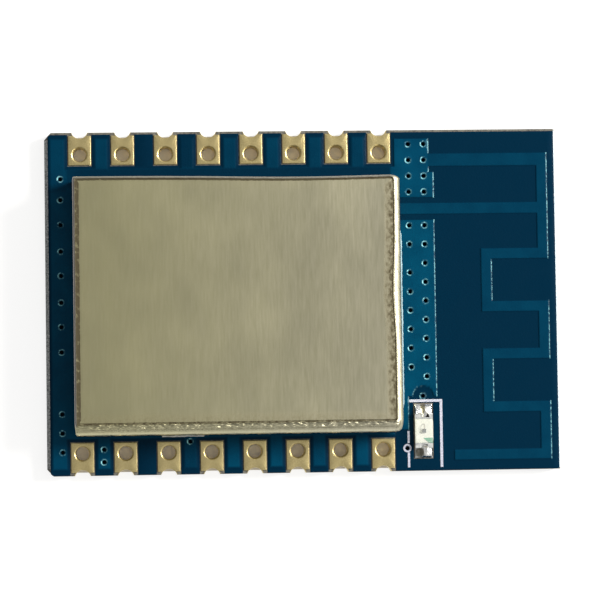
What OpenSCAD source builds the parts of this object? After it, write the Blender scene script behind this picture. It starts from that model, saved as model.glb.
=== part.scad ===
// Castellated radio module: a small circuit board with a folded shield can,
// plated edge pads, a printed folded antenna and one chip LED.
// Frame: origin under the middle of the board, +X to the antenna end, +Z up.

/* [Board] */
// Thickness of the glass-epoxy laminate
core_t = 0.68; // [0.5:0.01:1.5]
// Thickness of the copper foil
copper_t = 0.035; // [0.02:0.005:0.07]
// Thickness of the solder mask
mask_t = 0.025; // [0.015:0.005:0.04]
// Bare strip between the mask and the long edges
mask_rim = 0.1; // [0.05:0.01:0.14]
// Bare strip between the mask and the score bevels
mask_back = 0.04; // [0.02:0.01:0.1]
// 45 degree cut on the two corners at the can end
corner_cut = 0.32; // [0.1:0.02:0.6]
// Width of the snapped score bevel at the can end
score_w = 0.22; // [0.1:0.01:0.3]
// Width of the score bevel at the antenna end
score_far_w = 0.12; // [0.08:0.01:0.3]
// Depth of each score
score_d = 0.24; // [0.1:0.01:0.25]

/* [Edge pads] */
// Number of pads on each long side
pads_per_side = 8; // [4:1:8]
// Distance from pad to pad
pad_pitch = 2; // [1.8:0.05:2.2]
// Width of a pad
pad_w = 1.05; // [0.9:0.05:1.2]
// Length of the gold on a pad
pad_l = 1.38; // [1.2:0.02:2]
// Bare strip between the gold and the board's edge
pad_rim = 0.15; // [0.1:0.01:0.3]
// Clear strip between the can's feet and the pads
pad_gap = 0.345; // [0.28:0.005:0.6]
// Diameter of the plated hole in a pad
pad_hole_d = 0.65; // [0.4:0.05:0.8]
// Distance from a pad's inner end to its hole's centre
pad_hole_in = 0.49; // [0.46:0.01:0.6]
// Diameter of the half-round edge notch
notch_d = 0.76; // [0.5:0.02:0.9]
// Distance of the notch's centre outside the board's edge
notch_out = 0.1; // [0:0.02:0.2]
// Thickness of the plating in holes and notches
plating_t = 0.03; // [0.02:0.005:0.05]
// Gap between a pad and the mask around it
mask_gap = 0.05; // [0.03:0.01:0.1]

/* [Shield can] */
// Length of the can
can_l = 14.9; // [14:0.1:18]
// Width of the can
can_w = 11.55; // [11.2:0.05:14]
// Height of the can above the mask
can_h = 2.2; // [2:0.05:3]
// Thickness of the sheet
can_t = 0.15; // [0.1:0.01:0.2]
// Outer radius of the folds
fold_r = 0.21; // [0.2:0.01:0.4]
// Radius of the can's upright corners
can_corner_r = 0.2; // [0.1:0.01:0.3]
// Width of the half-etched line inside each fold
groove_w = 0.1; // [0.05:0.01:0.2]
// Depth of the half-etched line
groove_d = 0.05; // [0.02:0.01:0.08]
// Width of the slits between the flaps
slit_w = 0.1; // [0.05:0.01:0.2]
// How far the feet of the front and right flaps stand out from their folds
flap_splay = 0.35; // [0.05:0.01:0.5]
// Height of the flaps' edge above the mask, between the feet
foot_lift = 0.12; // [0.05:0.01:0.3]
// Length of the feet on the front and left flaps
foot_l = 2; // [1:0.1:3]
// Length of the soldered foot beside the antenna
foot_long_l = 8.6; // [4:0.1:8.8]
// Distance from the can's middle to the long foot's middle
long_foot_out = 0.9; // [0:0.05:1]
// Distance from the can's middle to the front foot
front_foot_out = 2.5; // [1:0.05:4]
// Distance from the can's middle to the back foot
back_foot_out = 6.3; // [4:0.1:6.5]
// Height of the solder on the feet
fillet_h = 0.25; // [0.15:0.01:0.4]
// Width of the solder on the feet
fillet_w = 0.1; // [0.06:0.01:0.15]
// Width of the solder on the long foot
long_fillet_w = 0.2; // [0.1:0.01:0.25]
// Clear board between the can and the scored end
can_margin = 1.37; // [1:0.01:2]
// How far the can sits off the middle of the pads, towards the antenna
can_shift = 0.17; // [0:0.01:0.3]

/* [Copper and vias] */
// Clearance from the planes to the pads
pour_clear = 0.2; // [0.15:0.01:0.25]
// Distance from the planes to the board's edges
pour_edge = 0.42; // [0.35:0.01:0.5]
// Distance from the fingers between the pads to the long edges
finger_edge = 0.32; // [0.25:0.01:0.4]
// How far the upper plane steps back at the antenna's stub
plane_step = 0.22; // [0.12:0.01:0.3]
// Width of the planes beyond the can and pads
pour_margin = 1.92; // [1.7:0.01:2.6]
// Gap between the planes and the antenna's feed
feed_clear = 0.29; // [0.2:0.01:0.4]
// Drilled diameter of a via
via_drill_d = 0.25; // [0.23:0.01:0.3]
// Open diameter of a via after plating
via_hole_d = 0.2; // [0.1:0.01:0.22]
// Distance between vias along the stitching rows
via_pitch = 0.886; // [0.8:0.002:0.95]
// Distance between the two stitching rows
via_row_gap = 0.72; // [0.6:0.01:0.8]
// Distance from the outer stitching row to the plane's edge
via_edge = 0.44; // [0.3:0.01:0.5]
// Distance between vias along the scored end
via_end_pitch = 1.14; // [1:0.01:1.2]
// Distance from the planes' ends to the first via of a row
via_inset = 0.25; // [0.2:0.01:0.3]

/* [Antenna] */
// Width of the folded trace
trace_w = 0.47; // [0.3:0.01:0.6]
// Width of the shorting stub
stub_w = 0.58; // [0.4:0.01:0.7]
// Width of the feed
feed_w = 0.5; // [0.3:0.01:0.6]
// Width of the folds
antenna_w = 3.15; // [2.4:0.05:4]
// Clear board between the planes and the folds
antenna_gap = 2.21; // [1.8:0.01:4]
// Distance from the antenna to the board's end
antenna_edge = 0.45; // [0.35:0.01:0.8]
// Distance from the long edge to the stub's middle
stub_inset = 1.42; // [1.2:0.01:1.6]
// Distance from the stub to the feed
feed_drop = 2.29; // [2:0.01:2.6]
// Distance from the feed to the first fold
fold_drop = 2.15; // [1.6:0.01:2.6]
// Number of bars across the folds
fold_bars = 5; // [3:2:7]
// Distance from the last bar's middle to the long edge
tail_inset = 0.73; // [0.6:0.01:1]
// How far every second bar is set back
fold_skew = 0.13; // [0:0.01:0.3]
// Clear board between the LED bracket and the last bar
tail_gap = 0.55; // [0.3:0.01:1]

/* [LED] */
// Length of the LED
led_l = 1.6; // [1.4:0.05:2]
// Width of the LED
led_w = 0.82; // [0.6:0.01:1]
// Height of the LED's lens
led_lens_h = 0.34; // [0.25:0.01:0.5]
// Length of the LED's lens
led_lens_l = 1.1; // [0.9:0.05:1.2]
// Thickness of the LED's base
led_base_t = 0.18; // [0.1:0.01:0.3]
// Thickness of the LED's end plating
led_plate_t = 0.03; // [0.02:0.005:0.05]
// Length of the LED's end plating
led_plate_l = 0.24; // [0.15:0.01:0.25]
// Radius of the half-round notch in each end of the base
led_notch_r = 0.16; // [0.1:0.01:0.2]
// Side of the light-emitting die
led_die_w = 0.18; // [0.1:0.01:0.24]
// Height of the light-emitting die
led_die_h = 0.1; // [0.06:0.01:0.12]
// Diameter of the bond wire
wire_d = 0.03; // [0.02:0.005:0.04]
// Radius of the bond wire's arch
wire_r = 0.16; // [0.12:0.01:0.18]
// Length of solder beyond each end of the LED
led_solder_l = 0.45; // [0.3:0.01:0.5]
// Distance from the can and pads to the LED's middle
led_in = 1.28; // [1.2:0.01:1.6]
// Distance from the long edge to the LED's middle
led_up = 1.87; // [1.8:0.01:2.2]
// Width of the silkscreen lines
silk_w = 0.13; // [0.1:0.01:0.18]
// Thickness of the silkscreen ink
silk_t = 0.02; // [0.01:0.005:0.03]
// Clear strip between the LED and its bracket
silk_gap = 0.36; // [0.2:0.01:0.5]

/* [Parts under the can] */
// Side of the radio chip
radio_w = 5; // [4:0.1:5.2]
// Height of the radio chip
radio_h = 0.85; // [0.6:0.05:1]
// Leads on each side of the radio chip
radio_leads = 8; // [6:1:8]
// Distance between the radio chip's leads
radio_pitch = 0.5; // [0.4:0.01:0.55]
// Side of the radio chip's ground pad
radio_pad_w = 3.3; // [2:0.1:3.4]
// Length of the memory's body
flash_l = 4.9; // [4:0.1:5.2]
// Width of the memory's body
flash_w = 3.9; // [3:0.1:4.2]
// Height of the memory
flash_h = 1.45; // [1:0.05:1.6]
// Width over the memory's leads
flash_span = 6; // [5.6:0.1:6.4]
// Distance between the memory's leads
flash_pitch = 1.27; // [1:0.01:1.3]
// Length of the crystal
crystal_l = 3.2; // [2.5:0.1:3.4]
// Width of the crystal
crystal_w = 2.5; // [2:0.1:2.6]
// Height of the crystal's base
crystal_base_h = 0.45; // [0.3:0.05:0.6]
// Height of the crystal's lid
crystal_lid_h = 0.3; // [0.2:0.05:0.5]
// Length of a chip part
chip_l = 1; // [0.8:0.05:1.1]
// Width of a chip part
chip_w = 0.5; // [0.4:0.02:0.6]
// Length of a chip part's metal ends
chip_end_l = 0.22; // [0.15:0.01:0.3]
// How far the metal ends stand out
chip_end_t = 0.02; // [0.01:0.005:0.03]
// Distance between chip parts in a row
chip_pitch = 1.6; // [1.3:0.05:1.8]
// Clear board between neighbouring parts
part_gap = 0.6; // [0.45:0.05:0.8]

/* [Hidden] */
$fn = 32;
// Small overrun for clean cuts, and a long one for cuts that leave the board
cut = 0.1;
over = 1;

// Levels through the board and the can
z_core = mask_t + copper_t;
z_core_top = z_core + core_t;
z_copper = z_core_top + copper_t;
z_mask = z_copper + mask_t;
z_bare_mask = z_core_top + mask_t;
z_can = z_mask + can_h;

// Distances across the board
pad_in = can_w / 2 + flap_splay + pad_gap;
pad_out = pad_in + pad_l;
edge_y = pad_out + pad_rim;
hole_y = pad_in + pad_hole_in;
notch_y = edge_y + notch_out;
pour_y = pad_in - pour_clear;
finger_y = edge_y - finger_edge;

// Distances along the board
row_l = (pads_per_side - 1) * pad_pitch + pad_w;
reach_left = max(can_l / 2 + can_margin - can_shift, row_l / 2 + pour_edge + pour_clear);
reach_right = max(can_l / 2 + can_shift, row_l / 2);
board_l = reach_left + reach_right + pour_margin + antenna_gap + antenna_w + antenna_edge;
x_end = board_l / 2;
rows_x = reach_left - x_end;
can_x = rows_x + can_shift;
can_right = can_x + can_l / 2;
can_left = can_x - can_l / 2;
zone_x = rows_x + reach_right;
pour_x = zone_x + pour_margin;
function pad_x(i) = rows_x + (i - (pads_per_side - 1) / 2) * pad_pitch;
row_right = rows_x + row_l / 2;

// Antenna lines
ant_right = x_end - antenna_edge;
ant_left = ant_right - antenna_w;
stub_y = edge_y - stub_inset;
feed_y = stub_y - feed_drop;
bar_top_y = feed_y - fold_drop;
bar_pitch = (bar_top_y + edge_y - tail_inset) / (fold_bars - 1);
function bar_y(i) = bar_top_y - i * bar_pitch - (i % 2) * fold_skew;
feed_x = can_right - part_gap;

// LED and its bracket
led_x = zone_x + led_in;
led_y = led_up - edge_y;
led_z = z_copper + led_plate_t;
led_reach = led_l / 2 + led_solder_l;
bracket_gap = 0.09;
bracket_y = led_y + led_reach + bracket_gap + silk_w;
bracket_right = led_x + led_w / 2 + silk_gap + silk_w;
bracket_left = led_x - led_w / 2 - silk_gap + silk_w / 2;
tail_x = bracket_right + tail_gap;
bracket_clear = 0.16;
strip_x = bracket_left;
led_strip_l = 1.39;

// Planes beside the antenna, upper and lower block
block_top = edge_y - pour_edge;
block_foot = feed_y + feed_w / 2 + feed_clear;
lower_top = feed_y - feed_w / 2 - feed_clear;
lower_foot = bracket_y + bracket_clear;
step_x = pour_x - plane_step;
step_y = stub_y - stub_w / 2 - feed_clear;

// A rectangle is [left, front, right, back]
fingers = [for (i = [0:pads_per_side - 2]) if (i != 1)
    [pad_x(i) + pad_w / 2 + pour_clear, pad_x(i + 1) - pad_w / 2 - pour_clear]];
end_strip = [-x_end + pour_edge, pad_x(0) - pad_w / 2 - pour_clear];
shared_pour = concat(
    [[-x_end + pour_edge, -pour_y, can_right - cut, pour_y]],
    [[end_strip[0], -finger_y, end_strip[1], finger_y]],
    [for (f = fingers) [f[0], -finger_y, f[1], finger_y]],
    [[can_right - 2 * cut, bracket_y - led_strip_l, strip_x, lower_foot + cut]]);
top_pour = concat(shared_pour,
    [[can_right - 2 * cut, block_foot, step_x, pour_y]],
    [[row_right + pour_clear, block_foot, step_x, block_top]],
    [[step_x - cut, block_foot, pour_x, step_y]],
    [[can_right - 2 * cut, lower_foot, pour_x, lower_top]]);
bottom_pour = concat(shared_pour,
    [[can_right - 2 * cut, lower_foot, pour_x, pour_y]],
    [[row_right + pour_clear, lower_foot, pour_x, block_top]]);
feed_slot = [feed_x - feed_clear, lower_top, can_right, block_foot];
antenna = concat(
    [[step_x, stub_y - stub_w / 2, ant_right, stub_y + stub_w / 2]],
    [[feed_x, feed_y - feed_w / 2, ant_right, feed_y + feed_w / 2]],
    [[ant_right - trace_w, bar_y(0) - trace_w / 2, ant_right, stub_y + stub_w / 2]],
    [for (i = [0:fold_bars - 1])
        [i == fold_bars - 1 ? tail_x : ant_left, bar_y(i) - trace_w / 2,
            ant_right, bar_y(i) + trace_w / 2]],
    [for (i = [0:fold_bars - 2]) let (x = i % 2 == 0 ? ant_left : ant_right - trace_w)
        [x, bar_y(i + 1) - trace_w / 2, x + trace_w, bar_y(i) + trace_w / 2]]);

// Vias: the scored end, the fingers, the two stitching groups and the LED's own
via_x = pour_x - via_edge;
via_end_x = -x_end + pour_edge + via_edge - via_drill_d / 2;
// The vias along the scored end stand unevenly: how far each is set off its even place
end_via_set = [0, 0.17, 0.14, 0.04, 0.05, -0.06, -0.05, -0.09];
end_via_in = 2.18;
front_vias = 3;
front_via_in = 1.1;
finger_via_in = 0.17;
finger_via_step = 0.58;
upper_rows = 4;
upper_step = (block_top - block_foot - 2 * via_inset) / (upper_rows - 1);
lower_y = lower_top - via_inset;
lower_rows = floor((lower_y - lower_foot - 2 * via_inset) / via_pitch);
led_via = [led_x, lower_foot];
led_via_clear = 0.5;
mark_via = [bracket_left - silk_w / 2, led_y - led_l / 2];
function finger_x(i) = (fingers[i][0] + fingers[i][1]) / 2;
stitch_vias = concat(
    [for (i = [0:len(end_via_set) - 1])
        [via_end_x, edge_y - end_via_in - i * via_end_pitch + end_via_set[i]]],
    [for (i = [0:front_vias - 1]) [via_end_x, front_via_in - edge_y + i * via_pitch]],
    [for (i = [0, 1]) [finger_x(0), finger_via_in - hole_y - i * finger_via_step]],
    [[finger_x(1), -pad_in]],
    [for (i = [0:upper_rows - 1], c = [0, 1])
        [via_x - c * via_row_gap, block_top - via_inset - i * upper_step]],
    [for (i = [0:lower_rows]) [via_x, lower_y - i * via_pitch]],
    [for (i = [0, 1]) [via_x - via_row_gap, lower_y - i * via_pitch]],
    [for (i = [2:lower_rows - 1]) [via_x - via_row_gap, lower_y - (i + 0.5) * via_pitch]]);
all_vias = concat(stitch_vias, [led_via, mark_via]);

// Feet of the can: [side turn, place along the flap, length, width of the solder]
front = 0;
right = 90;
back = 180;
left = 270;
feet = [[front, -front_foot_out, foot_l, fillet_w], [right, -long_foot_out, foot_long_l, long_fillet_w],
    [back, back_foot_out, foot_l / 2, fillet_w], [left, 0, foot_l, fillet_w]];
fold_steps = 8;
corner_flats = 3;
splay_a = atan(flap_splay / (can_h - fold_r));
function lean(turn) = turn == front || turn == right ? splay_a : 0;
function stand(turn) = (can_h - fold_r) * tan(lean(turn)) + fold_r / cos(lean(turn)) - fold_r;

// Parts under the can, packed round the radio chip and centred between the front and back walls
stack_w = chip_w + part_gap + (flash_span + radio_w) / 2 + part_gap + crystal_w;
crystal_y = (stack_w - crystal_w) / 2;
radio_x = can_x + radio_w / 2 + cut;
radio_y = crystal_y - (radio_w + crystal_w) / 2 - part_gap;
radio_land_l = 0.7;
radio_lead_t = 0.2;
flash_x = radio_x - (radio_w + radio_land_l + flash_l) / 2 - part_gap;
flash_y = radio_y;
flash_land_l = 0.9;
flash_lift = 0.1;
flash_lead_t = 0.2;
flash_lead_w = 0.4;
flash_foot_l = 0.5;
crystal_land = [1, 0.8];
crystal_rim = 0.15;
row_y = flash_y - flash_span / 2 - part_gap - chip_w / 2;
row_back_y = flash_y + flash_span / 2 + part_gap + chip_w / 2;
row_back_x = radio_x - crystal_l / 2 - part_gap - chip_l / 2;
capacitor_count = 8;
capacitor_h = 0.5;
resistor_count = 4;
resistor_h = 0.35;
inductor_h = 0.5;
capacitors = [for (i = [0:capacitor_count - 1])
    [can_x + (i - (capacitor_count - 1) / 2) * chip_pitch, row_y]];
resistors = [for (i = [0:resistor_count - 1]) [row_back_x - i * chip_pitch, row_back_y]];
inductors = [[feed_x - chip_l, feed_y], [feed_x - chip_l, feed_y - 2 * chip_w - part_gap]];
chips = concat(capacitors, resistors, inductors);
chip_land_l = 0.5;
chip_land_over = 0.05;
standoff = 0.02;

// Copper lands: [middle x, middle y, length, width]
radio_lands = concat([[radio_x, radio_y, radio_pad_w, radio_pad_w]],
    [for (i = [0:radio_leads - 1], s = [-1, 1])
        let (t = (i - (radio_leads - 1) / 2) * radio_pitch)
        [radio_x + t, radio_y + s * radio_w / 2, radio_pitch / 2, radio_land_l]],
    [for (i = [0:radio_leads - 1], s = [-1, 1])
        let (t = (i - (radio_leads - 1) / 2) * radio_pitch)
        [radio_x + s * radio_w / 2, radio_y + t, radio_land_l, radio_pitch / 2]]);
flash_lands = [for (i = [0:3], s = [-1, 1])
    [flash_x + (i - 1.5) * flash_pitch, flash_y + s * (flash_span - flash_land_l) / 2,
        flash_pitch / 2, flash_land_l]];
crystal_lands = [for (sx = [-1, 1], sy = [-1, 1])
    [radio_x + sx * (crystal_l - crystal_land[0]) / 2,
        crystal_y + sy * (crystal_w - crystal_land[1]) / 2, crystal_land[0], crystal_land[1]]];
chip_lands = [for (c = chips, s = [-1, 1])
    [c[0] + s * (chip_l - chip_end_l) / 2, c[1], chip_land_l, chip_w + 2 * chip_land_over]];
led_land_l = led_solder_l + led_plate_l;
led_lands = [for (s = [-1, 1])
    [led_x, led_y + s * (led_reach - led_land_l / 2), led_w, led_land_l]];
lands = concat(radio_lands, flash_lands, crystal_lands, chip_lands, led_lands);
radio_keepout = [radio_x, radio_y, radio_w + radio_land_l, radio_w + radio_land_l];
keepouts = concat([radio_keepout], flash_lands, crystal_lands, chip_lands, led_lands);

// Colours of the finished pieces
laminate_colour = "#8a8672";
copper_colour = "#b87333";
mask_colour = "#00476a";
gold_colour = "#c8ac6e";
can_colour = "#9d9881";
solder_colour = "#c9cac6";
ceramic_colour = "#b89468";
black_colour = "#232326";

pad_names = [for (k = [1:2 * pads_per_side]) str("castellated_pad_", k)];
capacitor_names = [for (k = [1:len(capacitors)]) str("capacitor_", k)];
resistor_names = [for (k = [1:len(resistors)]) str("resistor_", k)];
inductor_names = [for (k = [1:len(inductors)]) str("inductor_", k)];

// Flat outline helpers

module rectangles(list, grow = 0) {
    for (r = list)
        translate([r[0] - grow, r[1] - grow])
            square([r[2] - r[0] + 2 * grow, r[3] - r[1] + 2 * grow]);
}

module land_outlines(list, grow = 0) {
    for (l = list)
        translate([l[0], l[1]])
            square([l[2] + 2 * grow, l[3] + 2 * grow], center = true);
}

module dots(points, d) {
    for (p = points)
        translate(p)
            circle(d = d);
}

// Board outline with the two corners cut at the can end
module board_outline() {
    polygon([[-x_end + corner_cut, -edge_y], [x_end, -edge_y], [x_end, edge_y],
        [-x_end + corner_cut, edge_y], [-x_end, edge_y - corner_cut],
        [-x_end, corner_cut - edge_y]]);
}

// Outline of the printed mask, set back from every edge
module mask_outline() {
    inset = score_w + mask_back;
    far = score_far_w + mask_back;
    long_y = edge_y - mask_rim;
    polygon([[-x_end + inset + corner_cut - mask_rim, -long_y], [x_end - far, -long_y],
        [x_end - far, long_y], [-x_end + inset + corner_cut - mask_rim, long_y],
        [-x_end + inset, long_y - corner_cut + mask_rim],
        [-x_end + inset, corner_cut - mask_rim - long_y]]);
}

// Stands its children on both long sides, at every pad's place
module at_pads() {
    for (i = [0:pads_per_side - 1], side = [0, 1])
        translate([pad_x(i), 0])
            mirror([0, side, 0])
                children();
}

// Pad numbers run along the back edge, then return along the front edge
module at_pad(k) {
    back_row = k <= pads_per_side;
    i = back_row ? k - 1 : 2 * pads_per_side - k;
    translate([pad_x(i), 0, 0])
        mirror([0, back_row ? 0 : 1, 0])
            children();
}

// Copper outline on the top side; grow widens it for the mask that runs over it
module top_copper(grow = 0) {
    difference() {
        rectangles(top_pour, grow);
        rectangles([feed_slot], -grow);
        land_outlines(keepouts, pour_clear - grow);
        translate(led_via)
            circle(r = led_via_clear - grow);
    }
}

// Places where the mask leaves the pads and the can's feet bare
module mask_windows() {
    at_pads()
        translate([-pad_w / 2 - mask_gap, pad_in - mask_gap])
            square([pad_w + 2 * mask_gap, pad_l + pad_rim + over]);
}

// The can's flaps, each turned to face front, with the foot line on the X axis
module at_flap(turn) {
    across = turn == front || turn == back;
    out = across ? can_w / 2 : can_l / 2;
    translate([can_x, 0, 0])
        rotate(turn)
            translate([0, -out - stand(turn), 0])
                children();
}

module foot_windows() {
    for (f = feet)
        at_flap(f[0])
            translate([f[1] - f[2] / 2 - mask_gap, -f[3] - mask_gap])
                square([f[2] + 2 * mask_gap, f[3] + can_t + 3 * mask_gap]);
}

// Board

// Wedge cut along a short end by the scoring wheel
module score_cut(x, w, z, d) {
    side = sign(x);
    up = sign(d);
    translate([x, 0, z])
        rotate([90, 0, 0])
            linear_extrude(2 * (edge_y + over), center = true)
                polygon([[-side * w, 0], [-side * w, up * over], [side * over, up * over],
                    [side * over, -d], [0, -d]]);
}

module laminate_core() {
    color(laminate_colour)
        difference() {
            translate([0, 0, z_core])
                linear_extrude(core_t)
                    board_outline();
            score_cut(-x_end, score_w, z_core_top, score_d);
            score_cut(-x_end, score_w, z_core, -score_d);
            score_cut(x_end, score_far_w, z_core_top, score_d);
            score_cut(x_end, score_far_w, z_core, -score_d);
            translate([0, 0, -cut])
                linear_extrude(z_mask + 2 * cut) {
                    at_pads() {
                        translate([0, hole_y])
                            circle(d = pad_hole_d + 2 * plating_t);
                        translate([0, notch_y])
                            circle(d = notch_d + 2 * plating_t);
                    }
                    dots(all_vias, via_drill_d);
                }
        }
}

module ground_pour_top() {
    color(copper_colour)
        translate([0, 0, z_core_top])
            linear_extrude(copper_t)
                difference() {
                    top_copper();
                    dots(all_vias, via_drill_d);
                }
}

module ground_pour_bottom() {
    color(copper_colour)
        translate([0, 0, mask_t])
            linear_extrude(copper_t)
                difference() {
                    rectangles(bottom_pour);
                    dots(all_vias, via_drill_d);
                }
}

module antenna_trace() {
    color(copper_colour)
        translate([0, 0, z_core_top])
            linear_extrude(copper_t)
                rectangles(antenna);
}

module component_lands() {
    color(gold_colour)
        translate([0, 0, z_core_top])
            linear_extrude(copper_t)
                land_outlines(lands);
}

module via_barrels() {
    color(copper_colour)
        translate([0, 0, mask_t])
            linear_extrude(z_copper - mask_t)
                difference() {
                    dots(all_vias, via_drill_d);
                    dots(all_vias, via_hole_d);
                }
}

// Ink that lies thin on the laminate and steps up over the copper
module solder_mask_top() {
    color(mask_colour)
        difference() {
            union() {
                translate([0, 0, z_core_top])
                    linear_extrude(mask_t)
                        mask_outline();
                translate([0, 0, z_core_top])
                    linear_extrude(copper_t + mask_t) {
                        top_copper(mask_t);
                        rectangles(antenna, mask_t);
                    }
            }
            translate([0, 0, z_core_top - cut])
                linear_extrude(copper_t + cut) {
                    top_copper();
                    rectangles(antenna);
                    dots(all_vias, via_drill_d);
                }
            translate([0, 0, z_core_top - cut])
                linear_extrude(over) {
                    mask_windows();
                    foot_windows();
                    land_outlines(lands, mask_gap);
                    dots(all_vias, via_hole_d);
                }
        }
}

module solder_mask_bottom() {
    color(mask_colour)
        difference() {
            union() {
                translate([0, 0, copper_t])
                    linear_extrude(mask_t)
                        mask_outline();
                linear_extrude(copper_t + mask_t)
                    rectangles(bottom_pour, mask_t);
            }
            translate([0, 0, mask_t])
                linear_extrude(copper_t + cut) {
                    rectangles(bottom_pour);
                    dots(all_vias, via_drill_d);
                }
            translate([0, 0, -cut])
                linear_extrude(over) {
                    mask_windows();
                    dots(all_vias, via_hole_d);
                }
        }
}

module silkscreen() {
    foot_y = -edge_y + mask_rim + silk_w / 2;
    color("white")
        translate([0, 0, z_bare_mask])
            linear_extrude(silk_t)
                difference() {
                    rectangles([
                        [strip_x + 2 * mask_t, bracket_y - silk_w, bracket_right, bracket_y],
                        [bracket_right - silk_w, foot_y, bracket_right, bracket_y],
                        [bracket_left - silk_w / 2, foot_y, bracket_left + silk_w / 2, led_y]]);
                    translate(mark_via)
                        circle(d = 2 * via_drill_d);
                }
}

// One plated pad: lands above and below, the hole's barrel and the edge plating
module edge_pad() {
    land_t = copper_t + mask_t;
    color(gold_colour)
        difference() {
            union() {
                for (z = [0, z_core_top])
                    translate([-pad_w / 2, pad_in, z])
                        cube([pad_w, pad_l, land_t]);
                translate([0, hole_y, 0])
                    cylinder(d = pad_hole_d + 2 * plating_t, h = z_mask);
                intersection() {
                    translate([0, notch_y, 0])
                        cylinder(d = notch_d + 2 * plating_t, h = z_mask);
                    translate([-pad_w / 2, pad_in, 0])
                        cube([pad_w, edge_y - pad_in, z_mask]);
                }
            }
            translate([0, hole_y, -cut])
                cylinder(d = pad_hole_d, h = z_mask + 2 * cut);
            translate([0, notch_y, -cut])
                cylinder(d = notch_d, h = z_mask + 2 * cut);
        }
}

module castellated_pad(k) {
    at_pad(k)
        edge_pad();
}

// Shield can

// Points along an arc
function arc(centre, r, from, to) = [for (i = [0:fold_steps])
    let (t = from + (to - from) * i / fold_steps) centre + r * [cos(t), sin(t)]];

// Profile across two flaps: upright on the right, leaning by a on the left
module can_profile(w, h, r, a) {
    foot = -2 * cut;
    face = w / 2 - r + r / cos(a);
    polygon(concat([[w / 2, foot]], arc([w / 2 - r, h - r], r, 0, 90),
        arc([r - w / 2, h - r], r, 90, 180 - a), [[-face - (h - r - foot) * tan(a), foot]]));
}

// Solid form of the can, drawn in by the sheet's thickness for its inside: folded down on
// four sides, with leaning front and right flaps
module can_form(in) {
    h = can_h - in;
    r = fold_r - in;
    intersection() {
        rotate([90, 0, 90])
            linear_extrude(2 * can_l, center = true)
                can_profile(can_w - 2 * in, h, r, lean(front));
        rotate([90, 0, 180])
            linear_extrude(2 * can_w, center = true)
                can_profile(can_l - 2 * in, h, r, lean(right));
    }
}

// Turns its children so that their X axis lies along u and their Y axis along v
module turned(u, v, place) {
    k = cross(u, v);
    multmatrix([[u[0], v[0], k[0], place[0]], [u[1], v[1], k[1], place[1]],
        [u[2], v[2], k[2], place[2]], [0, 0, 0, 1]])
        children();
}

// Waste outside one upright corner, rounded in flats between the faces of two flaps
module corner_waste(sx, sy) {
    ax = lean(sx > 0 ? right : left);
    ay = lean(sy > 0 ? back : front);
    face_x = [sx * cos(ax), 0, sin(ax)];
    face_y = [0, sy * cos(ay), sin(ay)];
    edge = cross(face_x, face_y) / norm(cross(face_x, face_y));
    place = [sx * (can_l / 2 - fold_r + (fold_r - can_corner_r) / cos(ax)),
        sy * (can_w / 2 - fold_r + (fold_r - can_corner_r) / cos(ay)), can_h - fold_r];
    for (i = [1:corner_flats]) {
        t = 90 * i / (corner_flats + 1);
        flat = cos(t) * face_x + sin(t) * face_y;
        turned(flat / norm(flat), edge, place)
            translate([can_corner_r, -2 * can_h, -over])
                cube([over, 4 * can_h, 2 * over]);
    }
}

// Lower limit of the flaps: clear of the mask apart from the feet
module flap_edges() {
    big = can_l + can_w;
    difference() {
        translate([can_x - big / 2, -big / 2, z_mask - over])
            cube([big, big, over + foot_lift]);
        for (f = feet)
            at_flap(f[0])
                translate([f[1] - f[2] / 2, -fold_r, z_copper])
                    cube([f[2], 2 * fold_r + flap_splay, over]);
    }
}

// Etched lines along the folds
module fold_grooves() {
    inner_l = can_l - 2 * fold_r - groove_w;
    inner_w = can_w - 2 * fold_r - groove_w;
    translate([can_x, 0, z_can - groove_d])
        linear_extrude(over)
            difference() {
                square([inner_l + groove_w, inner_w + groove_w], center = true);
                square([inner_l - groove_w, inner_w - groove_w], center = true);
            }
}

// Slits that part the front and back flaps from the side flaps
module corner_slits() {
    for (sx = [-1, 1], sy = [-1, 1])
        translate([can_x + sx * (can_l / 2 - can_t - slit_w / 2), sy * can_w / 2, z_mask])
            translate([-slit_w / 2, -fold_r - flap_splay, -over])
                cube([slit_w, 2 * (fold_r + flap_splay), over + can_h - fold_r]);
}

module shield_can() {
    color(can_colour)
        difference() {
            translate([can_x, 0, z_mask])
                difference() {
                    can_form(0);
                    can_form(can_t);
                    for (sx = [-1, 1], sy = [-1, 1])
                        corner_waste(sx, sy);
                }
            flap_edges();
            fold_grooves();
            corner_slits();
        }
}

// Hollow-faced solder that climbs the outer face of each foot
module shield_solder() {
    color(solder_colour)
        for (f = feet)
            at_flap(f[0])
                translate([f[1] - f[2] / 2, 0, z_copper])
                    rotate([90, 0, 90])
                        linear_extrude(f[2])
                            fillet_section(lean(f[0]), f[3]);
}

// Solder section, w wide, against a wall that leans back by a, hollowed by an arc
module fillet_section(a, w) {
    toe = [-mask_t * tan(a), 0];
    top = [(fillet_h - mask_t) * tan(a), fillet_h];
    far = [toe[0] - w, 0];
    chord = norm(top - far);
    out = [-(top - far)[1], (top - far)[0]] / chord;
    hollow_r = 2 * chord;
    difference() {
        polygon([toe, top, far]);
        translate((top + far) / 2 + out * sqrt(pow(hollow_r, 2) - pow(chord / 2, 2)))
            circle(r = hollow_r, $fn = 96);
    }
}

// LED

module led_base() {
    color("#e9e4d0")
        translate([led_x, led_y, led_z])
            difference() {
                translate([-led_w / 2, led_plate_t - led_l / 2, 0])
                    cube([led_w, led_l - 2 * led_plate_t, led_base_t]);
                for (s = [-1, 1])
                    translate([0, s * led_l / 2, -cut])
                        cylinder(r = led_notch_r, h = led_base_t + 2 * cut);
            }
}

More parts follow.
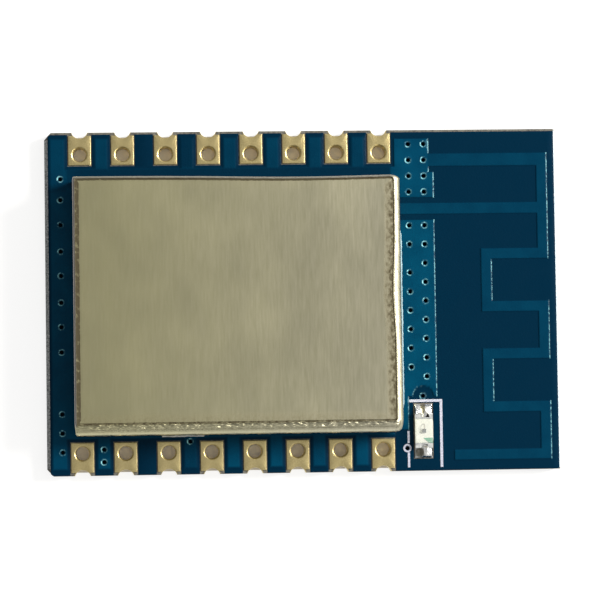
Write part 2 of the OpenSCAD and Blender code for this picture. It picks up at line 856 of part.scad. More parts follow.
// Plating that wraps each end of the base, open at the half-round notch
module led_terminals() {
    color(solder_colour)
        for (s = [0, 1])
            translate([led_x, led_y, z_copper])
                mirror([0, s, 0])
                    difference() {
                        translate([-led_w / 2, led_l / 2 - led_plate_l, 0])
                            cube([led_w, led_plate_l, led_base_t + 2 * led_plate_t]);
                        translate([-led_w, 0, led_plate_t])
                            cube([2 * led_w, led_l / 2 - led_plate_t, led_base_t]);
                        translate([0, led_l / 2, -cut])
                            cylinder(r = led_notch_r, h = over);
                    }
}

module led_die() {
    color("#b9b27a")
        translate([led_x - led_die_w / 2, led_y - led_die_w / 2, led_z + led_base_t])
            cube([led_die_w, led_die_w, led_die_h]);
}

// Arch of the bond wire, from the die to the base beside it
module wire_arch() {
    translate([led_x, led_y + wire_r, led_z + led_base_t])
        rotate([90, 0, 90])
            rotate_extrude(angle = 180)
                translate([wire_r, 0])
                    circle(d = wire_d, $fn = 16);
}

module led_bond_wire() {
    color("gold")
        difference() {
            wire_arch();
            led_die();
        }
}

module led_lens() {
    taper = led_lens_h / 4;
    color([0.95, 0.95, 0.88, 0.7])
        difference() {
            translate([led_x, led_y, led_z + led_base_t])
                rotate([90, 0, 90])
                    linear_extrude(led_w, center = true)
                        polygon([[-led_lens_l / 2, 0], [led_lens_l / 2, 0],
                            [led_lens_l / 2 - taper, led_lens_h],
                            [taper - led_lens_l / 2, led_lens_h]]);
            led_die();
            led_bond_wire();
        }
}

module led_solder() {
    rise = led_base_t + 2 * led_plate_t;
    color(solder_colour)
        for (s = [0, 1])
            translate([led_x, led_y, z_copper])
                mirror([0, s, 0])
                    translate([0, led_l / 2, 0])
                        rotate([90, 0, 90])
                            linear_extrude(led_w, center = true)
                                polygon([[0, 0], [led_solder_l, 0], [0, rise]]);
}

// Parts under the can

module radio_chip_leads() {
    color(solder_colour)
        translate([0, 0, z_copper])
            linear_extrude(radio_lead_t)
                intersection() {
                    land_outlines(radio_lands);
                    translate([radio_x, radio_y])
                        square(radio_w, center = true);
                }
}

module radio_chip_body() {
    color(black_colour)
        difference() {
            translate([radio_x - radio_w / 2, radio_y - radio_w / 2, z_copper + standoff])
                cube([radio_w, radio_w, radio_h - standoff]);
            radio_chip_leads();
        }
}

module flash_body() {
    color(black_colour)
        translate([flash_x - flash_l / 2, flash_y - flash_w / 2, z_copper + flash_lift])
            cube([flash_l, flash_w, flash_h - flash_lift]);
}

// Gull-wing leads, bent twice between the body and the board
module flash_leads() {
    t = flash_lead_t;
    rise = flash_h / 2;
    out = (flash_span - flash_w) / 2;
    foot = flash_foot_l;
    color(solder_colour)
        for (i = [0:3], s = [0, 1])
            translate([flash_x + (i - 1.5) * flash_pitch, flash_y, z_copper])
                mirror([0, s, 0])
                    translate([0, flash_w / 2, 0])
                        rotate([90, 0, 90])
                            linear_extrude(flash_lead_w, center = true)
                                polygon([[0, rise - t], [out - foot - t, rise - t],
                                    [out - foot, 0], [out, 0], [out, t],
                                    [out - foot + t / 2, t], [out - foot - t / 2, rise], [0, rise]]);
}

module crystal_base() {
    color("#d8d2c4")
        translate([radio_x - crystal_l / 2, crystal_y - crystal_w / 2, z_mask])
            cube([crystal_l, crystal_w, crystal_base_h]);
}

module crystal_lid() {
    color("#c7b98a")
        translate([radio_x, crystal_y, z_mask + crystal_base_h])
            linear_extrude(crystal_lid_h)
                square([crystal_l - 2 * crystal_rim, crystal_w - 2 * crystal_rim], center = true);
}

// Chip part: a ceramic block with metal ends that stand out a little
module chip(place, h, colour) {
    color(colour)
        translate([place[0], place[1], z_copper]) {
            translate([-chip_l / 2, -chip_w / 2, chip_end_t])
                cube([chip_l, chip_w, h]);
            for (s = [-1, 1])
                translate([s * (chip_l - chip_end_l) / 2, 0, h / 2 + chip_end_t])
                    cube([chip_end_l, chip_w + 2 * chip_end_t, h + 2 * chip_end_t], center = true);
        }
}

module capacitor(k) {
    chip(capacitors[k], capacitor_h, ceramic_colour);
}

module resistor(k) {
    chip(resistors[k], resistor_h, black_colour);
}

module inductor(k) {
    chip(inductors[k], inductor_h, "#5d6b74");
}

laminate_core();
ground_pour_top();
ground_pour_bottom();
antenna_trace();
component_lands();
via_barrels();
solder_mask_top();
solder_mask_bottom();
silkscreen();
for (k = [1:2 * pads_per_side])
    castellated_pad(k);
shield_can();
shield_solder();
led_base();
led_terminals();
led_die();
led_bond_wire();
led_lens();
led_solder();
radio_chip_body();
radio_chip_leads();
flash_body();
flash_leads();
crystal_base();
crystal_lid();
for (k = [0:len(capacitors) - 1])
    capacitor(k);
for (k = [0:len(resistors) - 1])
    resistor(k);
for (k = [0:len(inductors) - 1])
    inductor(k);
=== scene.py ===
"""Looks of the castellated radio module: ink, pads, can, LED and the studio round it.

Lengths in the classes are millimetres in the CAD frame. Meshes are written in metres.
"""
import logging
import math
from collections.abc import Iterable
from dataclasses import astuple, dataclass, field
from enum import Enum

import bpy
import numpy as np
from mathutils import Matrix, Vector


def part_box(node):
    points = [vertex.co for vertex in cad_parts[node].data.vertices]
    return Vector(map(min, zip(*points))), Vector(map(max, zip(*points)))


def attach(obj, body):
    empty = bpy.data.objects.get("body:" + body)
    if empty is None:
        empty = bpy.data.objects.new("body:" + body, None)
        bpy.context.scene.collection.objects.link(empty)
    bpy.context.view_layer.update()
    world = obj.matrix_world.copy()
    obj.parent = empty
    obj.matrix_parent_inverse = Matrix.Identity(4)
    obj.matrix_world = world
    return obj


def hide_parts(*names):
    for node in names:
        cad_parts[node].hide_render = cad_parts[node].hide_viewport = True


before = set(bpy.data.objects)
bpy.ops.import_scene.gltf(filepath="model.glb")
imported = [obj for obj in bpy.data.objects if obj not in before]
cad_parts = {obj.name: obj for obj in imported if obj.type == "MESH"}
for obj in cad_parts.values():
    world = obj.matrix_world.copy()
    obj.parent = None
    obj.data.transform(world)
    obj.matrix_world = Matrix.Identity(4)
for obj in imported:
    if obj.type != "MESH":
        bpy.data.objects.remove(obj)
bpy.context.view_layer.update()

MM = 0.001
# Distance that is beyond everything on the board
FAR = 9.0
TINY = 1e-9
LOG = logging.getLogger("module")
Socket = bpy.types.NodeSocket
Tree = bpy.types.NodeTree
Material = bpy.types.Material
Pair = tuple[float, float]
Triple = tuple[float, float, float]
# Left, front, right and back
Rect = tuple[float, float, float, float]
# Points, and four point numbers for each quad
Shape = tuple[np.ndarray, np.ndarray]


class Side(Enum):
    """Face of the board that a film lies on."""

    TOP = 1
    BOTTOM = -1


class Edge(Enum):
    """Side of the can, as the direction that the flap faces."""

    FRONT = (0, -1)
    RIGHT = (1, 0)
    BACK = (0, 1)
    LEFT = (-1, 0)


# Shader helpers


def srgb(code: str) -> tuple[float, float, float, float]:
    """Linear colour of an sRGB hex code.

    Args:
        code: six hex digits after a hash.

    Returns:
        Red, green, blue and alpha, linear.
    """
    part = np.array([int(code[k:k + 2], 16) for k in (1, 3, 5)]) / 255
    linear = np.where(part <= 0.04045, part / 12.92, ((part + 0.055) / 1.055) ** 2.4)
    return (*linear.tolist(), 1.0)


def add_node(tree: Tree, kind: str, inputs: dict, **settings) -> bpy.types.Node:
    """Adds a shader node, with its settings, constants and links.

    Args:
        tree: node tree that takes the node.
        kind: class name of the node.
        inputs: input name or index to a constant, or to a socket that is linked.
        settings: properties of the node itself.

    Returns:
        The new node.
    """
    node = tree.nodes.new(kind)
    for name, value in settings.items():
        setattr(node, name, value)
    for name, value in inputs.items():
        if isinstance(value, Socket):
            tree.links.new(value, node.inputs[name])
        else:
            node.inputs[name].default_value = value
    return node


def blank_material(name: str) -> Material:
    """Makes a material with an empty node tree.

    Args:
        name: name of the material.

    Returns:
        The material.
    """
    made = bpy.data.materials.new(name)
    made.use_nodes = True
    made.node_tree.nodes.clear()
    return made


@dataclass(frozen=True)
class Brush:
    """Material that is being painted.

    Attributes:
        tree: its node tree.
        shader: its principled shader.
        place: place on the object in metres.
    """

    tree: Tree
    shader: bpy.types.Node
    place: Socket

    def noise(self, size: Triple, layers: float = 3.0) -> Socket:
        """Noise from 0 to 1.

        Args:
            size: size of the grain along x, y and z in mm.
            layers: finer layers of the noise.

        Returns:
            The noise at each place.
        """
        scale = tuple(1 / (s * MM) for s in size)
        spread = add_node(self.tree, "ShaderNodeVectorMath", {0: self.place, 1: scale},
                          operation="MULTIPLY")
        return add_node(self.tree, "ShaderNodeTexNoise", {
            "Vector": spread.outputs[0], "Scale": 1.0, "Detail": layers}).outputs["Fac"]

    def work(self, operation: str, *values: Socket | float, clamp: bool = False) -> Socket:
        """Result of one sum, held between 0 and 1 where clamp says so."""
        return add_node(self.tree, "ShaderNodeMath", dict(enumerate(values)),
                        operation=operation, use_clamp=clamp).outputs[0]

    def mix(self, share: Socket, first: Socket | str, second: Socket | str) -> Socket:
        """Blend of two colours.

        Args:
            share: 0 gives the first colour and 1 the second.
            first: socket, or sRGB hex code.
            second: socket, or sRGB hex code.

        Returns:
            The blended colour.
        """
        first, second = (srgb(c) if isinstance(c, str) else c for c in (first, second))
        return add_node(self.tree, "ShaderNodeMix", {0: share, 6: first, 7: second},
                        data_type="RGBA").outputs[2]

    def blend(self, share: Socket, first: Socket, second: float) -> Socket:
        """Blend of two values, where a share of 0 gives the first."""
        return add_node(self.tree, "ShaderNodeMix", {0: share, 2: first, 3: second}).outputs[0]

    def span(self, value: Socket, low: float, high: float, start: float = 0.3,
             end: float = 0.7) -> Socket:
        """Maps a value from start..end to low..high, held at both ends."""
        return add_node(self.tree, "ShaderNodeMapRange", {
            0: value, 1: start, 2: end, 3: low, 4: high}).outputs[0]

    def attribute(self, name: str) -> Socket:
        """Value of a point attribute of the mesh."""
        return add_node(self.tree, "ShaderNodeAttribute", {}, attribute_name=name).outputs["Fac"]

    def coat(self, colour: Socket, rough: Socket) -> None:
        """Links colour and roughness to the shader."""
        self.tree.links.new(colour, self.shader.inputs["Base Color"])
        self.tree.links.new(rough, self.shader.inputs["Roughness"])

    def emboss(self, height: Socket, depth: float) -> None:
        """Bumps the shader's normal by a height, of which 1 is depth in mm."""
        bump = add_node(self.tree, "ShaderNodeBump", {"Height": height, "Distance": depth * MM})
        self.tree.links.new(bump.outputs[0], self.shader.inputs["Normal"])


@dataclass(frozen=True)
class Finish:
    """A material with grain: two tones and a roughness that follow one stretched noise.

    Attributes:
        name: real material and how it was made.
        light: sRGB hex of the lighter tone.
        dark: sRGB hex of the darker tone.
        grain: size of the grain along x, y and z in mm.
        rough: lowest and highest roughness.
        metallic: 1 for a metal.
        bump: height of the grain in mm.
        specular: specular level of the coat.
    """

    name: str
    light: str
    dark: str
    grain: Triple = (0.2, 0.2, 0.2)
    rough: Pair = (0.4, 0.6)
    metallic: float = 0.0
    bump: float = 0.0
    specular: float = 0.5

    def material(self) -> Material:
        """Makes the material of this finish, once.

        Returns:
            The material.
        """
        made = bpy.data.materials.get(self.name)
        if made:
            return made
        made = blank_material(self.name)
        tree = made.node_tree
        shader = add_node(tree, "ShaderNodeBsdfPrincipled", {
            "Metallic": self.metallic, "Specular IOR Level": self.specular})
        add_node(tree, "ShaderNodeOutputMaterial", {"Surface": shader.outputs[0]})
        place = add_node(tree, "ShaderNodeTexCoord", {}).outputs["Object"]
        self.paint(Brush(tree, shader, place))
        return made

    def paint(self, brush: Brush) -> None:
        """Links colour, roughness and grain to the shader.

        Args:
            brush: material that is painted.
        """
        grain = brush.noise(self.grain)
        colour = brush.mix(brush.span(grain, 0.0, 1.0), self.dark, self.light)
        brush.coat(colour, brush.span(grain, *self.rough))
        if self.bump:
            brush.emboss(grain, self.bump)


@dataclass(frozen=True)
class MaskInk(Finish):
    """Cured ink: teal where copper lies under it, deep navy over bare laminate.

    Attributes:
        bare: sRGB hex over bare laminate.
        thin: sRGB hex of thin ink round a via and on the foil's right edges, a painted highlight
            too.
        fleck: size of the flecks that break thin ink up, in mm.
        fleck_share: share of the thin tone that is left between and on the flecks.
        fleck_edge: noise from which a fleck starts, and at which it is full.
        peel: size of the orange peel in mm.
    """

    bare: str = "#002339"
    thin: str = "#a4f0fa"
    fleck: Triple = (0.12, 0.12, 0.12)
    fleck_share: Pair = (0.05, 1.0)
    fleck_edge: Pair = (0.42, 0.58)
    peel: Triple = (0.08, 0.08, 0.08)

    def paint(self, brush: Brush) -> None:
        """Mixes the inks by the point attributes, with a slight mottle and orange peel.

        Args:
            brush: material that is painted.
        """
        mottle = brush.span(brush.noise(self.grain), 0.0, 1.0)
        ink = brush.mix(mottle, self.dark, self.light)
        colour = brush.mix(brush.attribute("copper"), self.bare, ink)
        fleck = brush.span(brush.noise(self.fleck), *self.fleck_share, *self.fleck_edge)
        # The thin tone is partly a painted highlight from the window, broken into dots by the
        # flecks
        thin = brush.work("MULTIPLY", brush.attribute("thin"), fleck)
        brush.coat(brush.mix(thin, colour, self.thin),
                   brush.span(mottle, *self.rough, 0.0, 1.0))
        brush.emboss(brush.noise(self.peel), self.bump)


@dataclass(frozen=True)
class CanSheet(Finish):
    """Rolled nickel silver: fine lines along the rolling, dull and dark where it was etched.

    Attributes:
        etched: sRGB hex of the half-etched lines.
        etched_rough: roughness there.
        speck: size of the specks that break the etched tone up, in mm.
        speck_share: share of the etched tone between and on the specks.
        speck_edge: noise from which a speck starts, and at which it is full.
        cast: sRGB hex of the olive tone mixed in towards the plate's left end.
        cast_most: share of it at that end.
        cast_ends: places along the board where it is full, and where it has gone.
        shade_grey: sRGB hex of the darker grey painted on folds as painted shade.
        cloud: size of the areas that differ in roughness, in mm.
        dent: size of the tool marks along the folds in mm.
        dent_d: their depth in mm.
    """

    etched: str = "#6b6450"
    etched_rough: float = 0.8
    speck: Triple = (0.16, 0.22, 0.2)
    speck_share: Pair = (0.3, 1.6)
    speck_edge: Pair = (0.25, 0.75)
    cast: str = "#b5b188"
    cast_most: float = 0.75
    cast_ends: Pair = (-9.0, 4.0)
    shade_grey: str = "#95918e"
    cloud: Triple = (2.5, 4.0, 2.0)
    dent: Triple = (0.3, 0.1, 0.1)
    dent_d: float = 0.15

    def paint(self, brush: Brush) -> None:
        """Rolling lines in colour, roughness and height, then the etched lines over them.

        Args:
            brush: material that is painted.
        """
        lines = brush.noise(self.grain, 5.0)
        plain = brush.mix(brush.span(lines, 0.0, 1.0), self.dark, self.light)
        along = add_node(brush.tree, "ShaderNodeSeparateXYZ", {0: brush.place}).outputs[0]
        left = brush.span(along, self.cast_most, 0.0, *(x * MM for x in self.cast_ends))
        plain = brush.mix(left, plain, self.cast)
        # Painted shade: folds are mixed towards a darker grey by the grey attribute
        plain = brush.mix(brush.attribute("grey"), plain, self.shade_grey)
        speck = brush.span(brush.noise(self.speck, 4.0), *self.speck_share, *self.speck_edge)
        etch = brush.work("MULTIPLY", brush.attribute("etch"), speck, clamp=True)
        rough = brush.span(brush.noise(self.cloud, 2.0), *self.rough)
        brush.coat(brush.mix(etch, plain, self.etched),
                   brush.blend(etch, rough, self.etched_rough))
        dents = brush.work("MULTIPLY", brush.noise(self.dent, 1.0), brush.attribute("streak"))
        brush.emboss(brush.work("MULTIPLY_ADD", dents, self.dent_d / self.bump, lines), self.bump)


@dataclass(frozen=True)
class ClearResin(Finish):
    """Cast epoxy: what lies under it shows through, under a shine and a faint milk.

    Attributes:
        cover: share of the light that the resin stops.
    """

    cover: float = 0.2

    def paint(self, brush: Brush) -> None:
        """Lets most of the light through the grained colour."""
        super().paint(brush)
        brush.shader.inputs["Alpha"].default_value = self.cover


@dataclass(frozen=True)
class SolderWithDarkPatches(Finish):
    """Shiny solder with darker, rougher patches, by the point attribute.

    Attributes:
        flux: sRGB hex of the patches.
        flux_rough: roughness there.
        flux_share: cover of the patches on the darkest and lightest grain.
    """

    flux: str = "#85837a"
    flux_rough: float = 0.6
    flux_share: Pair = (0.75, 1.25)

    def paint(self, brush: Brush) -> None:
        """Lays the dark patches over the metal, broken up by the grain.

        Args:
            brush: material that is painted.
        """
        grain = brush.span(brush.noise(self.grain), 0.0, 1.0)
        metal = brush.mix(grain, self.dark, self.light)
        broken = brush.span(grain, *self.flux_share, 0.0, 1.0)
        patched = brush.work("MULTIPLY", brush.attribute("flux"), broken, clamp=True)
        rough = brush.span(grain, *self.rough, 0.0, 1.0)
        brush.coat(brush.mix(patched, metal, self.flux), brush.blend(patched, rough, self.flux_rough))
        brush.emboss(grain, self.bump)


# Blue ink reads as two depths of one colour, so traces show through it
MASK = MaskInk("solder mask, screened and cured ink", "#003f5b", "#003651", (0.9, 0.9, 0.9),
               (0.24, 0.32), bump=0.008, specular=0.04)
# Nickel grain under thin gold breaks the shine up into a satin yellow
GOLD = Finish("immersion gold over nickel", "#dccd99", "#c4b27d", (0.05, 0.05, 0.05),
              (0.28, 0.42), 1.0, 0.004)
# Bare copper is only seen at cut edges and under the can
COPPER = Finish("rolled copper foil", "#c98a5e", "#a9683f", (0.1, 0.1, 0.1), (0.3, 0.45), 1.0)
# Ink that ran into the narrow holes leaves them a dull dark blue
BARREL = Finish("copper plating under run-in ink", "#1c4a68", "#0d2f48", (0.05, 0.05, 0.05))
# Rolled sheet carries lines that stretch reflections along the board's short side
CAN = CanSheet("rolled and half-etched nickel silver", "#c1bda6", "#b0ad95", (0.09, 0.9, 0.4),
               (0.34, 0.44), 1.0, 0.0015)
# Reflowed solder is bright and slightly wrinkled
SOLDER = Finish("reflowed tin solder", "#e3e5e6", "#b9bdc0", (0.12, 0.12, 0.12),
                (0.25, 0.4), 0.6, 0.01)
# A heavy joint set shiny, so it shows the window in one place and dark board in the next
BRIGHT_SOLDER = SolderWithDarkPatches("shiny tin solder under flux", "#f0f1f2", "#d5d8da",
                             (0.1, 0.1, 0.1), (0.2, 0.3), 1.0, 0.003)
# A thin fillet set frosted, with a paler colour as painted light, since the short fillets lie in
# the can's shade
FROSTED_LIT_SOLDER = Finish("frosted tin solder", "#f2f1eb", "#cdcec9", (0.12, 0.12, 0.12),
                        (0.4, 0.55), 0.3, 0.01)
# Solder that ran thin along the copper is dull; its blue-grey is a painted reflection of the blue
# ink beside it
DULL_SOLDER = Finish("thin frosted tin solder", "#8aa3ab", "#5f7b86", (0.12, 0.2, 0.2),
                     (0.5, 0.65), 0.4, 0.01)
# Screened ink is matt and chalky, with pinholes that let the blue through
SILK = Finish("screened white ink", "#cdcfde", "#999fb6", (0.06, 0.06, 0.06), (0.6, 0.75),
              bump=0.006)
# Cut glass cloth shows pale bundles in a dull binder
LAMINATE = Finish("routed glass-epoxy laminate", "#75736a", "#403f3a", (0.12, 0.12, 0.03),
                  (0.55, 0.75), bump=0.01)
# Torn glass fibres are pale and dusty beside dark torn binder
TORN = Finish("snapped glass-epoxy, torn fibres", "#b4b8bb", "#484e50", (0.12, 0.07, 0.1),
              (0.6, 0.85), bump=0.03)
# Torn fibres on the right end, a paler copy of the torn finish as a painted highlight, where the
# end faces the window
LIT_TORN = Finish("snapped glass-epoxy, torn fibres with painted highlight", "#ccd8df", "#8496a2", (0.12, 0.07, 0.1),
                   (0.6, 0.85), bump=0.03)
# Moulded white plastic has a faint grain
WHITE = Finish("white moulded polyamide", "#e0e3d9", "#d0d4c9", (0.1, 0.1, 0.1), (0.4, 0.5))
# Clear resin is only seen by its shine
RESIN = ClearResin("cast clear epoxy", "#f6f8f7", "#eaedec", (0.15, 0.15, 0.15), (0.08, 0.16))
# Sapphire chip with a dark metal stack
DIE = Finish("gallium nitride chip", "#5d6568", "#3b4346", (0.06, 0.06, 0.06), (0.2, 0.3))
# Wire drawn so fine looks dark under the resin
WIRE = Finish("drawn gold wire", "#8b8272", "#625a4c", (0.05, 0.05, 0.05), (0.4, 0.5), 1.0)
# Pad-printed ink lies thin and even
GREEN = Finish("printed green polarity ink", "#3f9a76", "#2c7f60", (0.05, 0.05, 0.05),
               (0.5, 0.6))
# Filled epoxy shows fine pale grains in a matt black
BLACK = Finish("black moulded epoxy, fine matt", "#2b2b2e", "#1d1d20", (0.06, 0.06, 0.06),
               (0.55, 0.7), bump=0.004)
# Fired ceramics are matt, with a grain too fine to see
CERAMIC = Finish("fired white alumina", "#e8e6df", "#d8d5cb", (0.05, 0.05, 0.05), (0.45, 0.6))
TAN = Finish("fired tan titanate ceramic", "#bf9a6c", "#ab875a", (0.04, 0.04, 0.04), (0.4, 0.5))
GREY = Finish("fired grey ferrite ceramic", "#7c7f80", "#686b6c", (0.04, 0.04, 0.04), (0.45, 0.6))


# Mesh helpers


def points_of(*coordinates: np.ndarray | float) -> np.ndarray:
    """Points from coordinates that are spread over each other's rows and columns."""
    return np.stack(np.broadcast_arrays(*coordinates), -1)


def grid_faces(rows: int, columns: int, wrap_rows: bool = False,
               wrap_columns: bool = False) -> np.ndarray:
    """Quads of a grid of points, numbered row by row.

    Args:
        rows: points in the first direction.
        columns: points in the second direction.
        wrap_rows: joins the last row to the first.
        wrap_columns: joins the last column to the first.

    Returns:
        Four point numbers for each quad.
    """
    first = np.arange(rows if wrap_rows else rows - 1)[:, None]
    second = np.arange(columns if wrap_columns else columns - 1)[None, :]
    down, across = (first + 1) % rows, (second + 1) % columns
    return points_of(first * columns + second, down * columns + second,
                     down * columns + across, first * columns + across).reshape(-1, 4)


def thicken(outer: np.ndarray, inner: np.ndarray, faces: np.ndarray) -> Shape:
    """Closes two like sheets into one solid, with walls along every open border.

    Args:
        outer: points of the sheet whose faces point outwards.
        inner: the same points on the other face of the sheet.
        faces: quads of the outer sheet.

    Returns:
        Points and quads of the closed solid.
    """
    count = len(outer)
    sides = np.concatenate([faces[:, [k, (k + 1) % 4]] for k in range(4)])
    key = sides[:, 0] * count + sides[:, 1]
    border = sides[~np.isin(key, sides[:, 1] * count + sides[:, 0])]
    border = border[border[:, 0] != border[:, 1]]
    walls = np.column_stack([border[:, ::-1], border + count])
    return np.concatenate([outer, inner]), np.concatenate([faces, faces[:, ::-1] + count, walls])


def slab(face: np.ndarray, base: np.ndarray, flip: bool = False) -> Shape:
    """Closes two like grids of points into one solid.

    Args:
        face: rows of points on the face that is seen.
        base: the same points on the other face.
        flip: turns the quads over.

    Returns:
        Points and quads.
    """
    faces = grid_faces(*face.shape[:2])
    return thicken(face.reshape(-1, 3), base.reshape(-1, 3), faces[:, ::-1] if flip else faces)


def join(shapes: Iterable[Shape]) -> Shape:
    """Several shapes as one.

    Args:
        shapes: points and quads of each.

    Returns:
        All the points, and all the quads with their points renumbered.
    """
    points, faces = zip(*shapes)
    starts = np.cumsum([0, *map(len, points)])
    return np.concatenate(points), np.concatenate([q + s for q, s in zip(faces, starts)])


def smooth_step(value: np.ndarray) -> np.ndarray:
    """Rises from 0 to 1 with level ends, as 3t^2 - 2t^3."""
    t = np.clip(value, 0, 1)
    return t * t * (3 - 2 * t)


def ripple(u: np.ndarray, v: np.ndarray, seed: float) -> np.ndarray:
    """Uneven surface from -1 to 1: a mean of four crossed sine waves of unrelated length.

    Args:
        u: first coordinate in mm.
        v: second coordinate in mm.
        seed: phase.

    Returns:
        Height at each point.
    """
    return (np.sin(2.1 * u + 1.3 * v + seed) + np.sin(5.3 * u - 3.1 * v + 2.7 * seed)
            + np.sin(11.9 * u + 7.7 * v + 4.1 * seed) + np.sin(23.3 * u - 17.9 * v + seed)) / 4


def box_depth(points: np.ndarray, boxes: np.ndarray) -> np.ndarray:
    """Depth inside the union of rectangles, below zero outside.

    Args:
        points: places in the plane.
        boxes: rectangles.

    Returns:
        For each point the largest, over the rectangles, of its least distance to their sides.
    """
    x, y = points[:, 0, None], points[:, 1, None]
    inside = np.minimum(np.minimum(x - boxes[:, 0], boxes[:, 2] - x),
                        np.minimum(y - boxes[:, 1], boxes[:, 3] - y))
    return inside.max(1)


def add_object(name: str, data: bpy.types.ID) -> bpy.types.Object:
    """Puts a new object into the scene.

    Args:
        name: name of the object.
        data: its mesh, light or camera.

    Returns:
        The object.
    """
    made = bpy.data.objects.new(name, data)
    bpy.context.scene.collection.objects.link(made)
    return made


def place_piece(name: str, shape: Shape, finish: Finish, slot: str, nodes: tuple[str, ...] = (),
                sharp: float = 40.0, **attributes: np.ndarray) -> None:
    """Writes a mesh, dresses it and lets it ride on the part.

    Args:
        name: name of the piece.
        shape: places in mm, and four point numbers for each quad.
        finish: look of the piece.
        slot: material slot of the record; not used.
        nodes: CAD nodes that the piece stands for.
        sharp: edges over this angle in degrees stay sharp.
        attributes: point values that the finish reads.
    """
    points, faces = shape
    used, numbers = np.unique(faces, return_inverse=True)
    numbers = numbers.reshape(-1, 4)
    single = numbers != np.roll(numbers, -1, 1)
    sizes = single.sum(1)
    numbers = numbers[single]
    mesh = bpy.data.meshes.new(name)
    mesh.vertices.add(len(used))
    mesh.vertices.foreach_set("co", (points[used] * MM).astype(np.float32).ravel())
    mesh.loops.add(len(numbers))
    mesh.loops.foreach_set("vertex_index", numbers.astype(np.int32))
    mesh.polygons.add(len(faces))
    mesh.polygons.foreach_set("loop_start", (np.cumsum(sizes) - sizes).astype(np.int32))
    mesh.polygons.foreach_set("use_smooth", np.ones(len(faces), dtype=bool))
    for key, values in attributes.items():
        layer = mesh.attributes.new(key, "FLOAT", "POINT")
        layer.data.foreach_set("value", values[used].astype(np.float32))
    mesh.update(calc_edges=True)
    mesh.validate()
    mesh.set_sharp_from_angle(angle=math.radians(sharp))
    mesh.materials.append(finish.material())
    piece = add_object(name, mesh)
    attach(piece, "root")
    if nodes:
        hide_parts(*nodes)
    LOG.info("%s: %d quads", name, len(faces))


def node_box(name: str) -> tuple[np.ndarray, np.ndarray]:
    """Lowest and highest corner of a CAD node in mm."""
    low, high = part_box(name)
    return np.array(low) / MM, np.array(high) / MM


# Board


